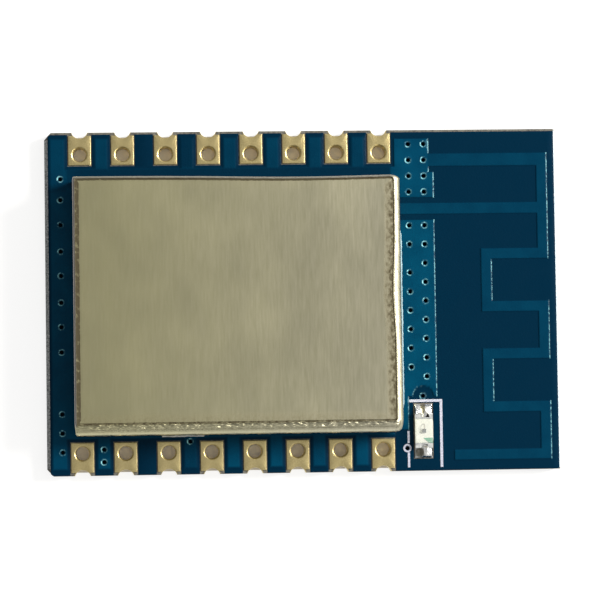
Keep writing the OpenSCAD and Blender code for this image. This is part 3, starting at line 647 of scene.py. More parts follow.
@dataclass(frozen=True)
class Layout:
    """Copper, pads and vias of the board, which several pieces share.

    Attributes:
        pad_in, pad_out, hole_y: distances of a pad's ends and hole from the board's middle.
        no_finger: gap between two pads that has no finger of copper.
        tail_x: left end of the antenna's last bar.
        uneven: how far the vias at the can end lie off their even spacing.
        upper_y: vias behind the antenna's feed, in both columns beside the can.
    """

    x_end: float = 12.0
    edge_y: float = 8.0
    core_foot: float = 0.06
    core_top: float = 0.74
    ink: float = 0.025
    foil: float = 0.035
    first_pad: float = -10.35
    pitch: float = 2.0
    pads: int = 8
    pad_w: float = 1.05
    pad_in: float = 6.47
    pad_out: float = 7.85
    hole_y: float = 6.96
    hole_r: float = 0.325
    pad_gap: float = 0.2
    pour_left: float = -11.72
    plane_end: float = 4.17
    pour_y: float = 6.27
    finger_y: float = 7.68
    no_finger: int = 1
    tongue: Rect = (4.07, -6.05, 4.845, -4.4)
    top_blocks: tuple[Rect, ...] = (
        (4.07, 4.83, 5.97, 6.27), (4.375, 4.83, 5.97, 7.58), (5.87, 4.83, 6.19, 6.0),
        (4.07, -4.5, 6.19, 3.75))
    bottom_blocks: tuple[Rect, ...] = ((4.07, -4.5, 6.19, 6.27), (4.375, -4.5, 6.19, 7.58))
    antenna_x: Pair = (8.4, 11.55)
    tail_x: float = 7.0
    trace: float = 0.47
    bars: tuple[float, ...] = (2.14, -0.3425, -2.565, -5.0475, -7.27)
    stub: Rect = (5.97, 6.29, 11.55, 6.87)
    feed: Rect = (3.67, 4.04, 11.55, 4.54)
    riser_y: Pair = (1.905, 6.87)
    end_x: float = -11.265
    end_start: float = 5.82
    end_pitch: float = 1.14
    uneven: tuple[float, ...] = (0, 0.17, 0.14, 0.04, 0.05, -0.06, -0.05, -0.09)
    end_more: Triple = (-6.9, -6.014, -5.128)
    finger_vias: tuple[Pair, ...] = ((-9.35, -6.79), (-9.35, -7.37), (-5.35, -6.47))
    led_vias: tuple[Pair, ...] = ((5.55, -4.5), (4.78, -6.93))
    rows_x: Pair = (5.75, 5.03)
    upper_y: tuple[float, ...] = (7.33, 6.58, 5.83, 5.08)
    row_pitch: float = 0.886
    outer_start: float = 3.5
    outer_count: int = 9
    inner_first: Pair = (3.5, 2.614)
    inner_start: float = 1.285
    inner_count: int = 6

    def pad_x(self) -> np.ndarray:
        """Middles of the pads along the board."""
        return self.first_pad + self.pitch * np.arange(self.pads)

    def between(self, k: int, clear: float) -> Pair:
        """Ends of the strip between pad k and the next, clear of both."""
        (left, right), reach = self.pad_x()[k:k + 2], self.pad_w / 2 + clear
        return left + reach, right - reach

    def planes(self, blocks: tuple[Rect, ...]) -> np.ndarray:
        """Rectangles of one plane.

        Args:
            blocks: those that only this plane has.

        Returns:
            One row for each rectangle.
        """
        spans = [self.between(k, self.pad_gap) for k in range(self.pads - 1)
                 if k != self.no_finger]
        spans.append((self.pour_left, self.first_pad - (self.pad_w / 2 + self.pad_gap)))
        return np.array([(self.pour_left, -self.pour_y, self.plane_end, self.pour_y), self.tongue]
                        + [(a, -self.finger_y, b, self.finger_y) for a, b in spans]
                        + list(blocks))

    def antenna(self) -> np.ndarray:
        """Rectangles of the folded antenna: bars across, joined in turn at either end.

        Returns:
            One row for each rectangle.
        """
        (left, right), half = self.antenna_x, self.trace / 2
        ends = [left] * (len(self.bars) - 1) + [self.tail_x]
        rows = [(end, y - half, right, y + half) for end, y in zip(ends, self.bars)]
        turns = [(x, low - half, x + self.trace, high + half) for x, low, high
                 in zip((left, right - self.trace) * 2, self.bars[1:], self.bars)]
        low, high = self.riser_y
        riser = (right - self.trace, low, right, high)
        return np.array([self.stub, self.feed, riser] + rows + turns)

    def vias(self) -> np.ndarray:
        """Middles of all the vias.

        Returns:
            One row for each via.
        """
        outer_x, inner_x = self.rows_x
        end = self.end_start - self.end_pitch * np.arange(len(self.uneven)) + self.uneven
        outer = self.outer_start - self.row_pitch * np.arange(self.outer_count)
        inner = self.inner_start - self.row_pitch * np.arange(self.inner_count)
        return np.array([
            *((self.end_x, y) for y in (*end, *self.end_more)), *self.finger_vias,
            *((x, y) for x in self.rows_x for y in self.upper_y), *((outer_x, y) for y in outer),
            *((inner_x, y) for y in (*self.inner_first, *inner)), *self.led_vias])


BOARD = Layout()


@dataclass(frozen=True)
class InkShades:
    """Areas that keep only a share of the copper's tone, so the ink there is darker.

    Attributes:
        dim: strip that is darker, and its share.
        front: strip between two front pads that is darker, and its share.
        strips: other rectangles, each with its share.
    """

    back_y: Pair = (6.3, 7.9)
    back_share: float = 0.5
    dim: tuple[int, float] = (2, 0.1)
    front: tuple[int, float] = (2, 0.45)
    strips: tuple[tuple[float, ...], ...] = (
        (-10.95, 5.5, 4.2, 6.3, 0.05), (-12.0, 5.2, -10.95, 8.1, 0.55))
    overlap: float = 0.05
    edge: float = 0.16

    def share(self, points: np.ndarray) -> np.ndarray:
        """Share of the copper's tone that is left: a smooth step at each border, multiplied.

        Args:
            points: places in the plane.

        Returns:
            The share at each point.
        """
        near, far = self.back_y
        spans = [BOARD.between(k, BOARD.pad_gap - self.overlap) for k in range(BOARD.pads - 1)]
        areas = [(a, near, b, far, self.dim[1] if k == self.dim[0] else self.back_share)
                 for k, (a, b) in enumerate(spans)]
        left, right = spans[self.front[0]]
        areas += [*self.strips, (left, -far, right, -near, self.front[1])]
        left_over = np.ones(len(points))
        for *box, share in areas:
            covered = smooth_step(box_depth(points, np.array([box])) / self.edge + 0.5)
            left_over *= 1 - (1 - share) * covered
        return left_over


@dataclass
class MaskFilm:
    """Solder mask as a closed film whose outer face steps up over the copper beneath.

    The film is a grid in the plane whose lines follow every edge of the copper and the windows.
    Its thickness is the ink, plus the foil times a smooth step across each copper edge.

    Attributes:
        slot: gap in the plane that the antenna's feed runs through.
        cleared: middle and radius of a disc without copper.
        shoulder: reach of the step outside and inside an edge of the copper.
        blur: reach of the change of tone, beside the can and elsewhere.
        via_rings: radius, drop and share of thin ink, with a painted highlight, of the rings round
            a via.
        lit_crescent: share round a via on average, and how much more on its left, a painted
            highlight.
        disc_marks: reach of the lines across the disc over its radius, and their number.
    """

    name: str
    side: Side
    outline: Rect
    copper: np.ndarray
    windows: np.ndarray
    vias: np.ndarray
    slot: np.ndarray | None = None
    cleared: Triple | None = None
    nodes: tuple[str, ...] = ()
    shades: InkShades | None = None
    corner: float = 0.1
    shoulder: Pair = (0.04, 0.02)
    soft_shoulder: Pair = (0.12, 0.05)
    soft_end: float = 4.25
    blur: Pair = (0.05, 0.02)
    hold: float = 0.02
    probe: float = 0.005
    edge_highlight_share: float = 0.5
    lip: float = 0.03
    lip_drop: float = 0.012
    least: float = 0.004
    via_square: float = 0.24
    via_marks: int = 4
    via_rings: tuple[Triple, ...] = (
        (0.185, 0.0, 0.0), (0.166, -0.004, 0.15), (0.15, -0.003, 0.6), (0.128, 0.007, 0.9),
        (0.108, 0.019, 0.2), (0.09, 0.05, 0.0))
    lit_crescent: Pair = (0.62, 0.38)
    wide_step: float = 4.0
    disc_marks: tuple[float, int] = (1.15, 13)
    raster: int = 2
    snap: float = 0.004
    thin_share: float = 0.58

    def steps(self, soft: bool) -> np.ndarray:
        """Places across an edge of the copper that need a grid line.

        Args:
            soft: whether the step there is rounded.

        Returns:
            Distances, above zero inside the copper.
        """
        out, into = self.soft_shoulder if soft else self.shoulder
        curve = (0.0,) if soft else ()
        return np.array([-out - self.hold, -out, -out / 2, *curve, into, into + self.hold])

    def lines(self, axis: int) -> np.ndarray:
        """Grid lines across one axis, on a raster so that near ones merge.

        Args:
            axis: 0 for x and 1 for y.

        Returns:
            Sorted places of the lines.
        """
        low, high = self.outline[axis], self.outline[axis + 2]
        near, far = self.copper[:, axis, None], self.copper[:, axis + 2, None]
        soft = self.copper[:, 2] < self.soft_end
        marks = [np.arange(low, high, self.wide_step), [low, low + self.lip, high - self.lip, high],
                 self.windows[:, axis, None] + [-self.lip, 0],
                 self.windows[:, axis + 2, None] + [0, self.lip],
                 self.vias[:, axis, None] + self.via_square * np.linspace(-1, 1, self.via_marks)]
        for edges, steps in ((soft, self.steps(True)), (~soft, self.steps(False))):
            marks += [near[edges] + steps, far[edges] - steps]
        if self.slot is not None:
            steps = self.steps(False)
            marks += [self.slot[:, axis, None] - steps, self.slot[:, axis + 2, None] + steps]
        if self.cleared:
            reach, count = self.disc_marks
            marks.append(self.cleared[axis] + self.cleared[2] * np.linspace(-reach, reach, count))
        every = np.concatenate([np.ravel(part) for part in marks])
        every = np.unique(np.round(every, self.raster))
        return every[(every >= round(low, self.raster)) & (every <= round(high, self.raster))]

    def depth(self, points: np.ndarray) -> np.ndarray:
        """Depth inside the copper under each point, below zero beside it.

        Args:
            points: places in the plane.

        Returns:
            The depth at each point.
        """
        inside = box_depth(points, self.copper)
        if self.slot is not None:
            pour = np.minimum(inside, -box_depth(points, self.slot))
            inside = np.maximum(pour, box_depth(points, BOARD.antenna()))
        if self.cleared:
            x, y, radius = self.cleared
            inside = np.minimum(inside, np.hypot(points[:, 0] - x, points[:, 1] - y) - radius)
        return inside

    def plan(self) -> tuple[np.ndarray, ...]:
        """Lays the grid out, opens the windows and draws every via down into a funnel.

        Returns:
            Points in the plane, quads, how far each point sinks and how much of the thin tone it
            takes, thin ink with a painted highlight.
        """
        xs, ys = self.lines(0), self.lines(1)
        number = np.arange(len(xs) * len(ys)).reshape(len(xs), len(ys))
        points = points_of(xs[:, None], ys[None]).reshape(-1, 2)
        mid_x, mid_y = (xs[1:] + xs[:-1]) / 2, (ys[1:] + ys[:-1]) / 2
        keep = np.ones((len(xs) - 1, len(ys) - 1), dtype=bool)
        for left, front, right, back in self.windows:
            across = (mid_x > left) & (mid_x < right)
            keep &= ~(across[:, None] & (mid_y > front) & (mid_y < back))
        places, quads, levels = [points], [], [np.zeros((len(points), 2))]
        total = len(points)
        radii, drops, pale = np.array(self.via_rings).T
        for via in self.vias:
            square = np.round(via[:, None] + np.array([-1, 1]) * self.via_square, self.raster)
            a, c = np.searchsorted(xs, square[0] - self.snap)
            b, d = np.searchsorted(ys, square[1] - self.snap)
            if not keep[a:c, b:d].all():
                continue
            keep[a:c, b:d] = False
            loop = np.concatenate([number[a:c, b], number[c, b:d], number[c:a:-1, d],
                                   number[a, d:b:-1]])
            away = points[loop] - via
            way = away / np.hypot(away[:, 0], away[:, 1])[:, None]
            rings = via + radii[:, None, None] * way
            ids = np.append(loop, total + np.arange(len(radii) * len(loop)))
            faces = grid_faces(len(radii) + 1, len(loop), wrap_columns=True)
            quads.append(ids[faces][:, [0, 3, 2, 1]])
            places.append(rings.reshape(-1, 2))
            # Painted highlight: the pale ring is stronger on the left of a via, where its slope
            # faces the window
            lit_side = self.lit_crescent[0] - self.lit_crescent[1] * way[:, 0]
            levels.append(points_of(drops[:, None], pale[:, None] * lit_side).reshape(-1, 2))
            total += len(radii) * len(loop)
        cells = points_of(number[:-1, :-1], number[1:, :-1], number[1:, 1:], number[:-1, 1:])
        return (np.concatenate(places), np.concatenate([cells[keep]] + quads),
                *np.concatenate(levels).T)

    def thickness(self, points: np.ndarray, depth: np.ndarray, sink: np.ndarray) -> np.ndarray:
        """Thickness of the film: ink, step over the foil, lips and funnels.

        Args:
            points: places in the plane.
            depth: depth inside the copper.
            sink: how far each point sinks.

        Returns:
            The thickness at each point.
        """
        soft = points[:, 0] < self.soft_end
        out, into = (np.where(soft, a, b) for a, b in zip(self.soft_shoulder, self.shoulder))
        rise = np.clip((depth + out) / (out + into), 0, 1)
        thick = BOARD.ink + BOARD.foil * np.where(soft, smooth_step(rise), rise)
        border = np.minimum(-box_depth(points, self.windows),
                            box_depth(points, np.array([self.outline])))
        thick -= self.lip_drop * (1 - smooth_step(border / self.lip))
        return thick - np.minimum(sink, thick - self.least)

    def tones(self, points: np.ndarray, depth: np.ndarray) -> tuple[np.ndarray, np.ndarray]:
        """Tone of the copper, and thin ink with a painted highlight on the edges that face right.

        Args:
            points: places in the plane.
            depth: depth inside the copper.

        Returns:
            Both at each point, from 0 to 1.
        """
        soft = points[:, 0] < self.soft_end
        blur = np.where(soft, *self.blur)
        plane = box_depth(points, BOARD.planes(BOARD.top_blocks))
        on_antenna = box_depth(points, BOARD.antenna()) > plane
        copper = smooth_step((depth + blur) / (2 * blur))
        copper = copper * np.where(on_antenna, self.thin_share, 1.0)
        if self.shades:
            copper *= self.shades.share(points)
        # Thin ink over the foil's edges, with a painted highlight: the pale tone goes only on edges
        # that face right, towards the window
        facing_window = np.clip((depth - self.depth(points + [self.probe, 0])) / self.probe, 0, 1)
        middle = np.clip(1 - np.abs(depth / self.shoulder[0] + 0.5) * 2, 0, 1)
        return copper, self.edge_highlight_share * (~soft * facing_window * middle)

    def build(self) -> None:
        """Makes the film with its steps, rounded lips and tones."""
        points, faces, sink, thin = self.plan()
        depth = self.depth(points)
        thick = self.thickness(points, depth, sink)
        left, front, _, back = self.outline
        slant = np.clip(self.corner - (points[:, 0] - left), 0, None)
        plane = points_of(points[:, 0], np.clip(points[:, 1], front + slant, back - slant))
        if self.side is Side.TOP:
            base, face = BOARD.core_top, BOARD.core_top + thick
        else:
            base, face = BOARD.core_foot, BOARD.core_foot - thick
            faces = faces[:, ::-1]
        shape = thicken(np.column_stack([plane, face]),
                        np.column_stack([plane, np.full(len(plane), base)]), faces)
        copper, edge_highlight = self.tones(points, depth)
        place_piece(self.name, shape, MASK, "solder_mask", self.nodes, copper=np.tile(copper, 2),
                    thin=np.tile(np.maximum(thin, edge_highlight), 2))


@dataclass
class EdgePads:
    """Castellated pads: a land, hole barrel and half-round notch plated as one piece each.

    Each pad is a closed tube round its hole: the angle round the hole by a loop that runs up the
    barrel, over a rounded lip, across the land and back under the board.

    Attributes:
        rim: how far out and how far down the lip's points lie.
    """

    angles: int = 128
    rim: tuple[Pair, ...] = (
        (0.0, 0.06), (0.004, 0.045), (0.024, 0.03), (0.046, 0.014), (0.06, 0.004), (0.07, 0.0),
        (0.09, 0.0))
    barrel_r: float = 0.312
    edge: float = 0.02
    arc: int = 5
    plating: float = 0.03
    notch_r: float = 0.38
    notch_y: float = 8.1
    notch_steps: int = 40
    lining_more: float = 0.01
    sharp: float = 50.0

    def reach(self, angle: np.ndarray) -> tuple[np.ndarray, np.ndarray]:
        """Distance from the hole's middle to the land's edge, and where that edge is the notch.

        Args:
            angle: directions round the hole, with the board's edge at a quarter turn.

        Returns:
            Distances, and a mask of the directions that end at the notch.
        """
        x, y = np.cos(angle), np.sin(angle)
        walls = ((np.abs(x), BOARD.pad_w / 2), (y, BOARD.pad_out - BOARD.hole_y),
                 (-y, BOARD.hole_y - BOARD.pad_in))
        square = np.min([np.where(part > TINY, wall / np.maximum(part, TINY), FAR)
                         for part, wall in walls], 0)
        gap = self.notch_y - BOARD.hole_y
        inside = self.notch_r ** 2 - (gap * x) ** 2
        hit = np.where((inside > 0) & (y > 0), gap * y - np.sqrt(np.maximum(inside, 0)), FAR)
        return np.minimum(square, hit), hit < square

    def tube(self) -> Shape:
        """One pad round its own hole, with the board's edge towards +y.

        Returns:
            Points, with the hole's middle as origin, and quads.
        """
        side, out, back = BOARD.pad_w / 2, BOARD.pad_out - BOARD.hole_y, BOARD.pad_in - BOARD.hole_y
        corner = np.arctan2([out, out, back, back], [side, -side, -side, side]) % (2 * np.pi)
        angle = np.linspace(0, 2 * np.pi, self.angles, endpoint=False)
        angle = np.unique(np.round(np.concatenate([angle, corner]), 4))
        far, notch = self.reach(angle)
        top, foot = BOARD.core_top + BOARD.ink + BOARD.foil, 0.0
        turn = np.linspace(0, np.pi / 2, self.arc)
        curl = list(zip(self.edge * (1 - np.sin(turn)), self.edge * (1 - np.cos(turn))))
        barrel = np.where(notch, far, BOARD.hole_r + self.plating)
        loop = [(self.barrel_r + out, top - down) for out, down in self.rim]
        loop += [(far - back, top - down) for back, down in curl]
        loop += [(far, BOARD.core_top), (barrel, BOARD.core_top), (barrel, BOARD.core_foot),
                 (far, BOARD.core_foot)]
        loop += [(far - back, foot + up) for up, back in curl]
        loop += [(self.barrel_r + out, foot + up) for out, up in self.rim[::-1]]
        radius = np.stack([r + 0 * far for r, _ in loop], 1)
        height = np.array([z for _, z in loop])
        points = points_of(radius * np.cos(angle)[:, None], radius * np.sin(angle)[:, None], height)
        return points.reshape(-1, 3), grid_faces(len(angle), len(loop), True, True)[:, ::-1]

    def lining(self) -> Shape:
        """Plating of the notch out to the board's edge: an arc by a four-cornered section.

        Returns:
            Points, with the hole's middle as origin, and quads.
        """
        drop = self.notch_y - BOARD.edge_y
        top, foot = BOARD.core_top + self.lining_more, BOARD.core_foot - self.lining_more
        thick = self.notch_r + self.plating
        rows = []
        for r, z in ((self.notch_r, foot), (self.notch_r, top), (thick, top), (thick, foot)):
            dip = math.asin(drop / r)
            angle = np.linspace(np.pi + dip, 2 * np.pi - dip, self.notch_steps)
            rows.append(points_of(r * np.cos(angle),
                                  r * np.sin(angle) + self.notch_y - BOARD.hole_y, z))
        last = 4 * (self.notch_steps - 1)
        ends = np.array([[0, 1, 2, 3], [last + 3, last + 2, last + 1, last]])
        faces = np.concatenate([grid_faces(self.notch_steps, 4, False, True), ends])
        return np.stack(rows, 1).reshape(-1, 3), faces[:, ::-1]

    def build(self) -> None:
        """Places the sixteen pads, numbered round the board, the front row turned half round."""
        points, faces = join((self.tube(), self.lining()))
        columns = BOARD.pad_x()
        rows = [(x, 1.0) for x in columns] + [(x, -1.0) for x in columns[::-1]]
        for k, (x, turn) in enumerate(rows, 1):
            seat = points * [turn, turn, 1] + [x, turn * BOARD.hole_y, 0]
            place_piece(f"edge_pad_{k}", (seat, faces), GOLD, "gold_plate",
                        (f"castellated_pad_{k}",), self.sharp)


@dataclass
class SnappedEdge:
    """Torn fibres along a snapped score: length along the edge by the slope of the score.

    Attributes:
        lean: shares of that height along the board and upwards.
    """

    name: str
    finish: Finish
    inner_x: float
    outer_x: float
    half: float = 7.66
    low: float = 0.5
    high: float = 0.74
    rough: float = 0.035
    lean: Pair = (0.6, 0.8)
    thick: float = 0.06
    steps: tuple[int, int] = (420, 12)

    def build(self) -> None:
        """Makes the torn strip on the slope, kept inside the board's box."""
        y = np.linspace(-self.half, self.half, self.steps[0])[:, None]
        t = np.linspace(0, 1, self.steps[1])[None]
        way = math.copysign(1.0, self.outer_x)
        fibre = 0.5 + 0.5 * ripple(y * 5, t * 2.2 + y, 0.3)
        bump = self.rough * fibre * np.sin(np.pi * t) ** 0.7
        x = self.inner_x + (self.outer_x - self.inner_x) * t + way * bump * self.lean[0]
        z = self.high + (self.low - self.high) * t + bump * self.lean[1]
        face = points_of(np.clip(x, -BOARD.x_end, BOARD.x_end), y, z)
        base = face - np.array([way * self.thick, 0, self.thick])
        place_piece(self.name, slab(face, base, way > 0), self.finish, "glass_epoxy")


@dataclass
class BoardStack:
    """Board: new ink films, pads and torn ends round the CAD core, foils and barrels.

    Attributes:
        can_opening: opening of the upper film, which a film of its own fills under the can.
        cleared: middle and radius of the disc without copper behind the LED.
    """

    can_opening: Rect = (-10.45, -5.6, 4.1, 5.6)
    window_gap: float = 0.05
    led_window: Rect = (5.09, -7.43, 6.01, -4.83)
    part_gap: float = 0.12
    front_rim: float = -7.98
    left_rim: float = -11.83
    right_rim: float = 11.92
    slot: Rect = (3.38, 3.75, 4.27, 4.83)
    cleared: Triple = (5.55, -4.5, 0.5)
    everywhere: Rect = (-20.0, -20.0, 20.0, 20.0)
    pale_half: float = 7.92

    def pad_windows(self) -> list[Rect]:
        """Openings of the ink round the pads.

        Returns:
            Their rectangles.
        """
        side, start = BOARD.pad_w / 2 + self.window_gap, BOARD.pad_in - self.window_gap
        spans = ((start, BOARD.edge_y), (-BOARD.edge_y, -start))
        return [(x - side, a, x + side, b) for x in BOARD.pad_x() for a, b in spans]

    def part_windows(self) -> np.ndarray:
        """Openings of the ink under each part in the can.

        Returns:
            One row for each rectangle.
        """
        starts = ("capacitor", "resistor", "inductor", "radio_chip_leads", "flash_leads",
                  "crystal_base")
        boxes = [node_box(name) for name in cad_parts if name.startswith(starts)]
        return np.array([(*(low[:2] - self.part_gap), *(high[:2] + self.part_gap))
                         for low, high in boxes])

    def build(self) -> None:
        """Makes the films, the pads and the torn ends."""
        windows, none = self.pad_windows(), np.zeros((0, 2))
        top_back = node_box("solder_mask_top")[1][1]
        low, high = node_box("solder_mask_bottom")
        films = (
            MaskFilm("mask_film_top", Side.TOP,
                     (self.left_rim, self.front_rim, self.right_rim, top_back),
                     np.concatenate([BOARD.planes(BOARD.top_blocks), BOARD.antenna()]),
                     np.array(windows + [self.led_window, self.can_opening]), BOARD.vias(),
                     np.array([self.slot]), self.cleared, ("solder_mask_top",), InkShades()),
            MaskFilm("mask_film_under_can", Side.TOP, self.can_opening,
                     np.array([self.everywhere]), self.part_windows(), none, corner=0.0),
            MaskFilm("mask_film_bottom", Side.BOTTOM, (*low[:2], *high[:2]),
                     BOARD.planes(BOARD.bottom_blocks), np.array(windows), none, None,
                     self.cleared, ("solder_mask_bottom",)))
        for piece in (*films, EdgePads(),
                      SnappedEdge("torn_end_left", TORN, self.left_rim, -BOARD.x_end),
                      SnappedEdge("torn_end_right", LIT_TORN, self.right_rim, BOARD.x_end,
                                  self.pale_half)):
            piece.build()


# Shield


@dataclass(frozen=True)
class FlapForm:
    """Section of one side of the can.

    Attributes:
        fold_at: distance of the fold's middle line from the board's middle.
        fold: radius of the fold.
        reach: distance of the foot's outer face beyond the fold's middle line.
        groove: width of the half-etched line inside it.
        deep: depth of that line.
        dark: how fully it was etched.
        stain: share of etched tone on the plate beside the line.
        grey: how far the fold is painted darker grey, as painted shade, most on the left fold away
            from the window.
        streak: how hammered the fold's shoulder is.
        dent: how far the line is drawn inwards half way along.
        bow: how far the whole side is pushed in half way along.
    """

    fold_at: float
    fold: float
    reach: float
    groove: float
    deep: float
    dark: float
    stain: float
    grey: float
    streak: float
    dent: float = 0.0
    bow: float = 0.0

    def values(self) -> np.ndarray:
        """All but the first as one row of numbers."""
        return np.array(astuple(self)[1:])


@dataclass
class RimWalk:
    """One walk round the fold line, anticlockwise from the front left corner.

    Attributes:
        place: places on the fold line, from the can's middle.
        normal: outward normals.
        form: the flap's values at each place.
        slit: where the flap is slit open from a place to the next.
    """

    place: np.ndarray
    normal: np.ndarray
    form: np.ndarray
    slit: np.ndarray


@dataclass
class ShieldCan:
    """Folded can: one sheet, followed from the middle of its top plate down to its feet.

    One parameter runs round the can, the other outwards over the plate, through the half-etched
    line, round the fold and down the flap. Quads are left out at the slits beside the corners.

    Attributes:
        corners: radius of the corner after each side, and power of its superellipse.
        line: share of the groove and distance inside the fold line, share of its depth, and tone
            at the points across the half-etched line.
        jag_span: distances inside the fold line between which it does.
        second_line: row of the fold that carries a second dark line, and its tone.
        beat: middle and half width of the hammered band, as shares of the fold.
        wear_span: radius from which a fold wears, and most of what counts beyond it.
        feet: side, place and length of each foot.
    """

    foot: float = 0.8
    top: float = 3.0
    sheet: float = 0.15
    corners: dict[Edge, Pair] = field(default_factory=lambda: {
        Edge.FRONT: (0.1, 4.0), Edge.RIGHT: (0.18, 4.0), Edge.BACK: (0.04, 4.0),
        Edge.LEFT: (0.04, 12.0)})
    lift: float = 0.12
    flare: float = 0.02
    slit: float = 0.1
    slit_in: float = 0.02
    step: float = 0.06
    foot_step: float = 0.03
    foot_more: float = 0.01
    turns: int = 17
    dent_at: float = 0.4
    dent_l: float = 1.6
    bow_at: float = 3.0
    bow_l: float = 4.5
    rough_scale: float = 2.0
    plate: tuple[float, ...] = (0.0, 0.35, 0.65, 0.8, 0.88)
    line: tuple[Rect, ...] = (
        (1, 0.45, 0.0, 0.0), (1, 0.32, 0.0, 0.4), (1, 0.12, 0.02, 0.6), (1, 0.012, 0.05, 0.7),
        (1, -0.012, 0.7, 7.0), (0.6, 0.0, 1.0, 7.0), (0.35, 0.0, 0.95, 7.0),
        (0.1, 0.0, 0.6, 7.0), (0.0, 0.0, 0.1, 3.0))
    line_uneven: float = 0.25
    jag: float = 0.015
    jag_span: Pair = (0.005, 0.2)
    beat_from: float = 0.2
    fold_rows: int = 12
    second_line: tuple[int, float] = (4, 0.45)
    beat: Pair = (0.2, 0.25)
    wear: float = 0.06
    wear_span: Pair = (0.15, 0.2)
    wear_scale: float = 3.1
    wear_turn: float = 2.3
    ragged: float = 0.03
    wall: tuple[float, ...] = (0.25, 0.6, 0.9, 1.0)
    feet: tuple[tuple[Edge, float, float], ...] = (
        (Edge.FRONT, -5.68, 2.0), (Edge.RIGHT, -0.9, 8.6), (Edge.BACK, -9.48, 1.0),
        (Edge.LEFT, 0.0, 2.0))
    forms: dict[Edge, FlapForm] = field(default_factory=lambda: {
        Edge.FRONT: FlapForm(5.66, 0.48, 0.54, 0.085, 0.04, 0.12, 0.6, 0.1, 1.0),
        Edge.RIGHT: FlapForm(4.13, 0.30, 0.47, 0.05, 0.035, 0.3, 1.3, 0.0, 0.1, 0.1),
        Edge.BACK: FlapForm(5.64, 0.095, 0.095, 0.09, 0.035, 0.3, 0.2, 0.7, 0.2, 0.0, 0.1),
        Edge.LEFT: FlapForm(10.54, 0.09, 0.09, 0.2, 0.004, 0.17, 0.15, 1.0, 0.0)})
    sharp: float = 35.0

    def fold_line(self) -> tuple[np.ndarray, np.ndarray]:
        """Rectangle of the fold line.

        Returns:
            Its middle, and half its length and width.
        """
        front, right, back, left = (self.forms[side].fold_at for side in Edge)
        middle, half = [right - left, back - front], [right + left, back + front]
        return np.array(middle) / 2, np.array(half) / 2

    def walk(self) -> RimWalk:
        """Walks the four sides and the quarter turns between them.

        Round a corner the fold and foot distances follow a superellipse between the two sides'
        own, and the other values a squared sine.

        Returns:
            The walk, with extra places at the ends of the feet and the slits.
        """
        middle, half = self.fold_line()
        place, normal, form, slit = [], [], [], []
        order = tuple(Edge)
        for k, side in enumerate(order):
            n = np.array(side.value, dtype=float)
            along = np.array([-n[1], n[0]])
            spin, square = self.corners[side]
            end = abs(along @ half)
            start, end = self.corners[order[k - 1]][0] - end, end - spin
            marks = [np.linspace(start, end, int((end - start) / self.step))]
            cuts = np.array([start + self.slit_in, end - self.slit_in - self.slit])
            for edge, at, long in self.feet:
                if edge is side:
                    ends = np.array([long / 2, long / 2 + self.foot_step])
                    marks += [along.sum() * at - along @ middle + sign * ends for sign in (-1, 1)]
            if n[1]:
                marks += [cuts, cuts + self.slit]
            s = np.unique(np.round(np.clip(np.concatenate(marks), start, end), 3))
            mid = (s + np.append(s[1:], FAR))[:, None] / 2
            inside = (mid > cuts) & (mid < cuts + self.slit)
            turn = np.linspace(0, np.pi / 2, self.turns)[1:-1, None]
            arc = n * np.cos(turn) + along * np.sin(turn)
            place += [n * half + along * s[:, None], (n + along) * (half - spin) + spin * arc]
            normal += [np.tile(n, (len(s), 1)), arc]
            here = self.forms[side].values()
            there = self.forms[order[(k + 1) % len(order)]].values()
            corner = here + (there - here) * np.sin(turn) ** 2
            corner[:, :2] = ((np.cos(turn) / here[:2]) ** square
                             + (np.sin(turn) / there[:2]) ** square) ** (-1 / square)
            form += [np.tile(here, (len(s), 1)), corner]
            slit += [inside.any(1) & bool(n[1]), np.zeros(len(arc), dtype=bool)]
        return RimWalk(*(np.concatenate(part) for part in (place, normal, form, slit)))

    def face(self, walk: RimWalk, inset: float) -> tuple[np.ndarray, ...]:
        """One face of the sheet, row by row from the plate's middle.

        A row is its points in the plane, their height, etched tone, hammering and grey. The fold
        is an arc from upright to the flap's lean, hollowed by ripples. The flap is straight.

        Args:
            walk: walk round the fold line.
            inset: 0 for the outer face, the sheet's thickness for the inner one.

        Returns:
            Points by place round the can and place along the section, and at each its etched tone,
            how hammered it is and how grey.
        """
        fold, out, groove, sunken, dark, stain, grey, streak, dent, bow = walk.form.T
        middle, half = self.fold_line()
        pull = dent * np.exp(-((walk.place[:, 1] - self.dent_at) / self.dent_l) ** 2)
        push = bow * np.exp(-((walk.place[:, 0] - self.bow_at) / self.bow_l) ** 2)
        place = walk.place - walk.normal * (pull + push)[:, None]
        fold, out = fold + pull, out + pull
        level = self.top - inset
        none = np.zeros(len(place))
        rough = ripple(*(place * self.rough_scale).T, 1.0)
        rows = [(place * share, none + level, none, none, none) for share in self.plate]
        for share, more, sunk, tone in self.line:
            back = share * groove + more
            jag = self.jag * rough * (back > self.jag_span[0]) * (back < self.jag_span[1])
            flat = place * ((half - back[:, None]) / half) + walk.normal * jag[:, None]
            drop = sunken * (inset == 0) * sunk * (1 + self.line_uneven * rough)
            rows.append((flat, level - drop, tone * (stain if tone < 1 else dark),
                         streak * (share < self.beat_from), grey * (share == 0)))
        radius, centre = fold - inset, self.top - fold
        lean = (out - fold) / (self.top - self.foot - fold)
        tilt = np.arctan(lean)
        worn_most = self.wear * np.clip(fold - self.wear_span[0], 0, self.wear_span[1])
        wear_at = place * self.wear_scale
        for k, t in enumerate(np.linspace(0, 1, self.fold_rows)[1:], 1):
            angle = np.pi / 2 * (1 - t) + t * tilt
            hollow = 1 + ripple(wear_at[:, 0], wear_at[:, 1] + self.wear_turn * t, 2.0)
            worn = radius - worn_most * hollow * np.sin(np.pi * t)
            beaten = streak * max(0.0, 1 - ((t - self.beat[0]) / self.beat[1]) ** 2)
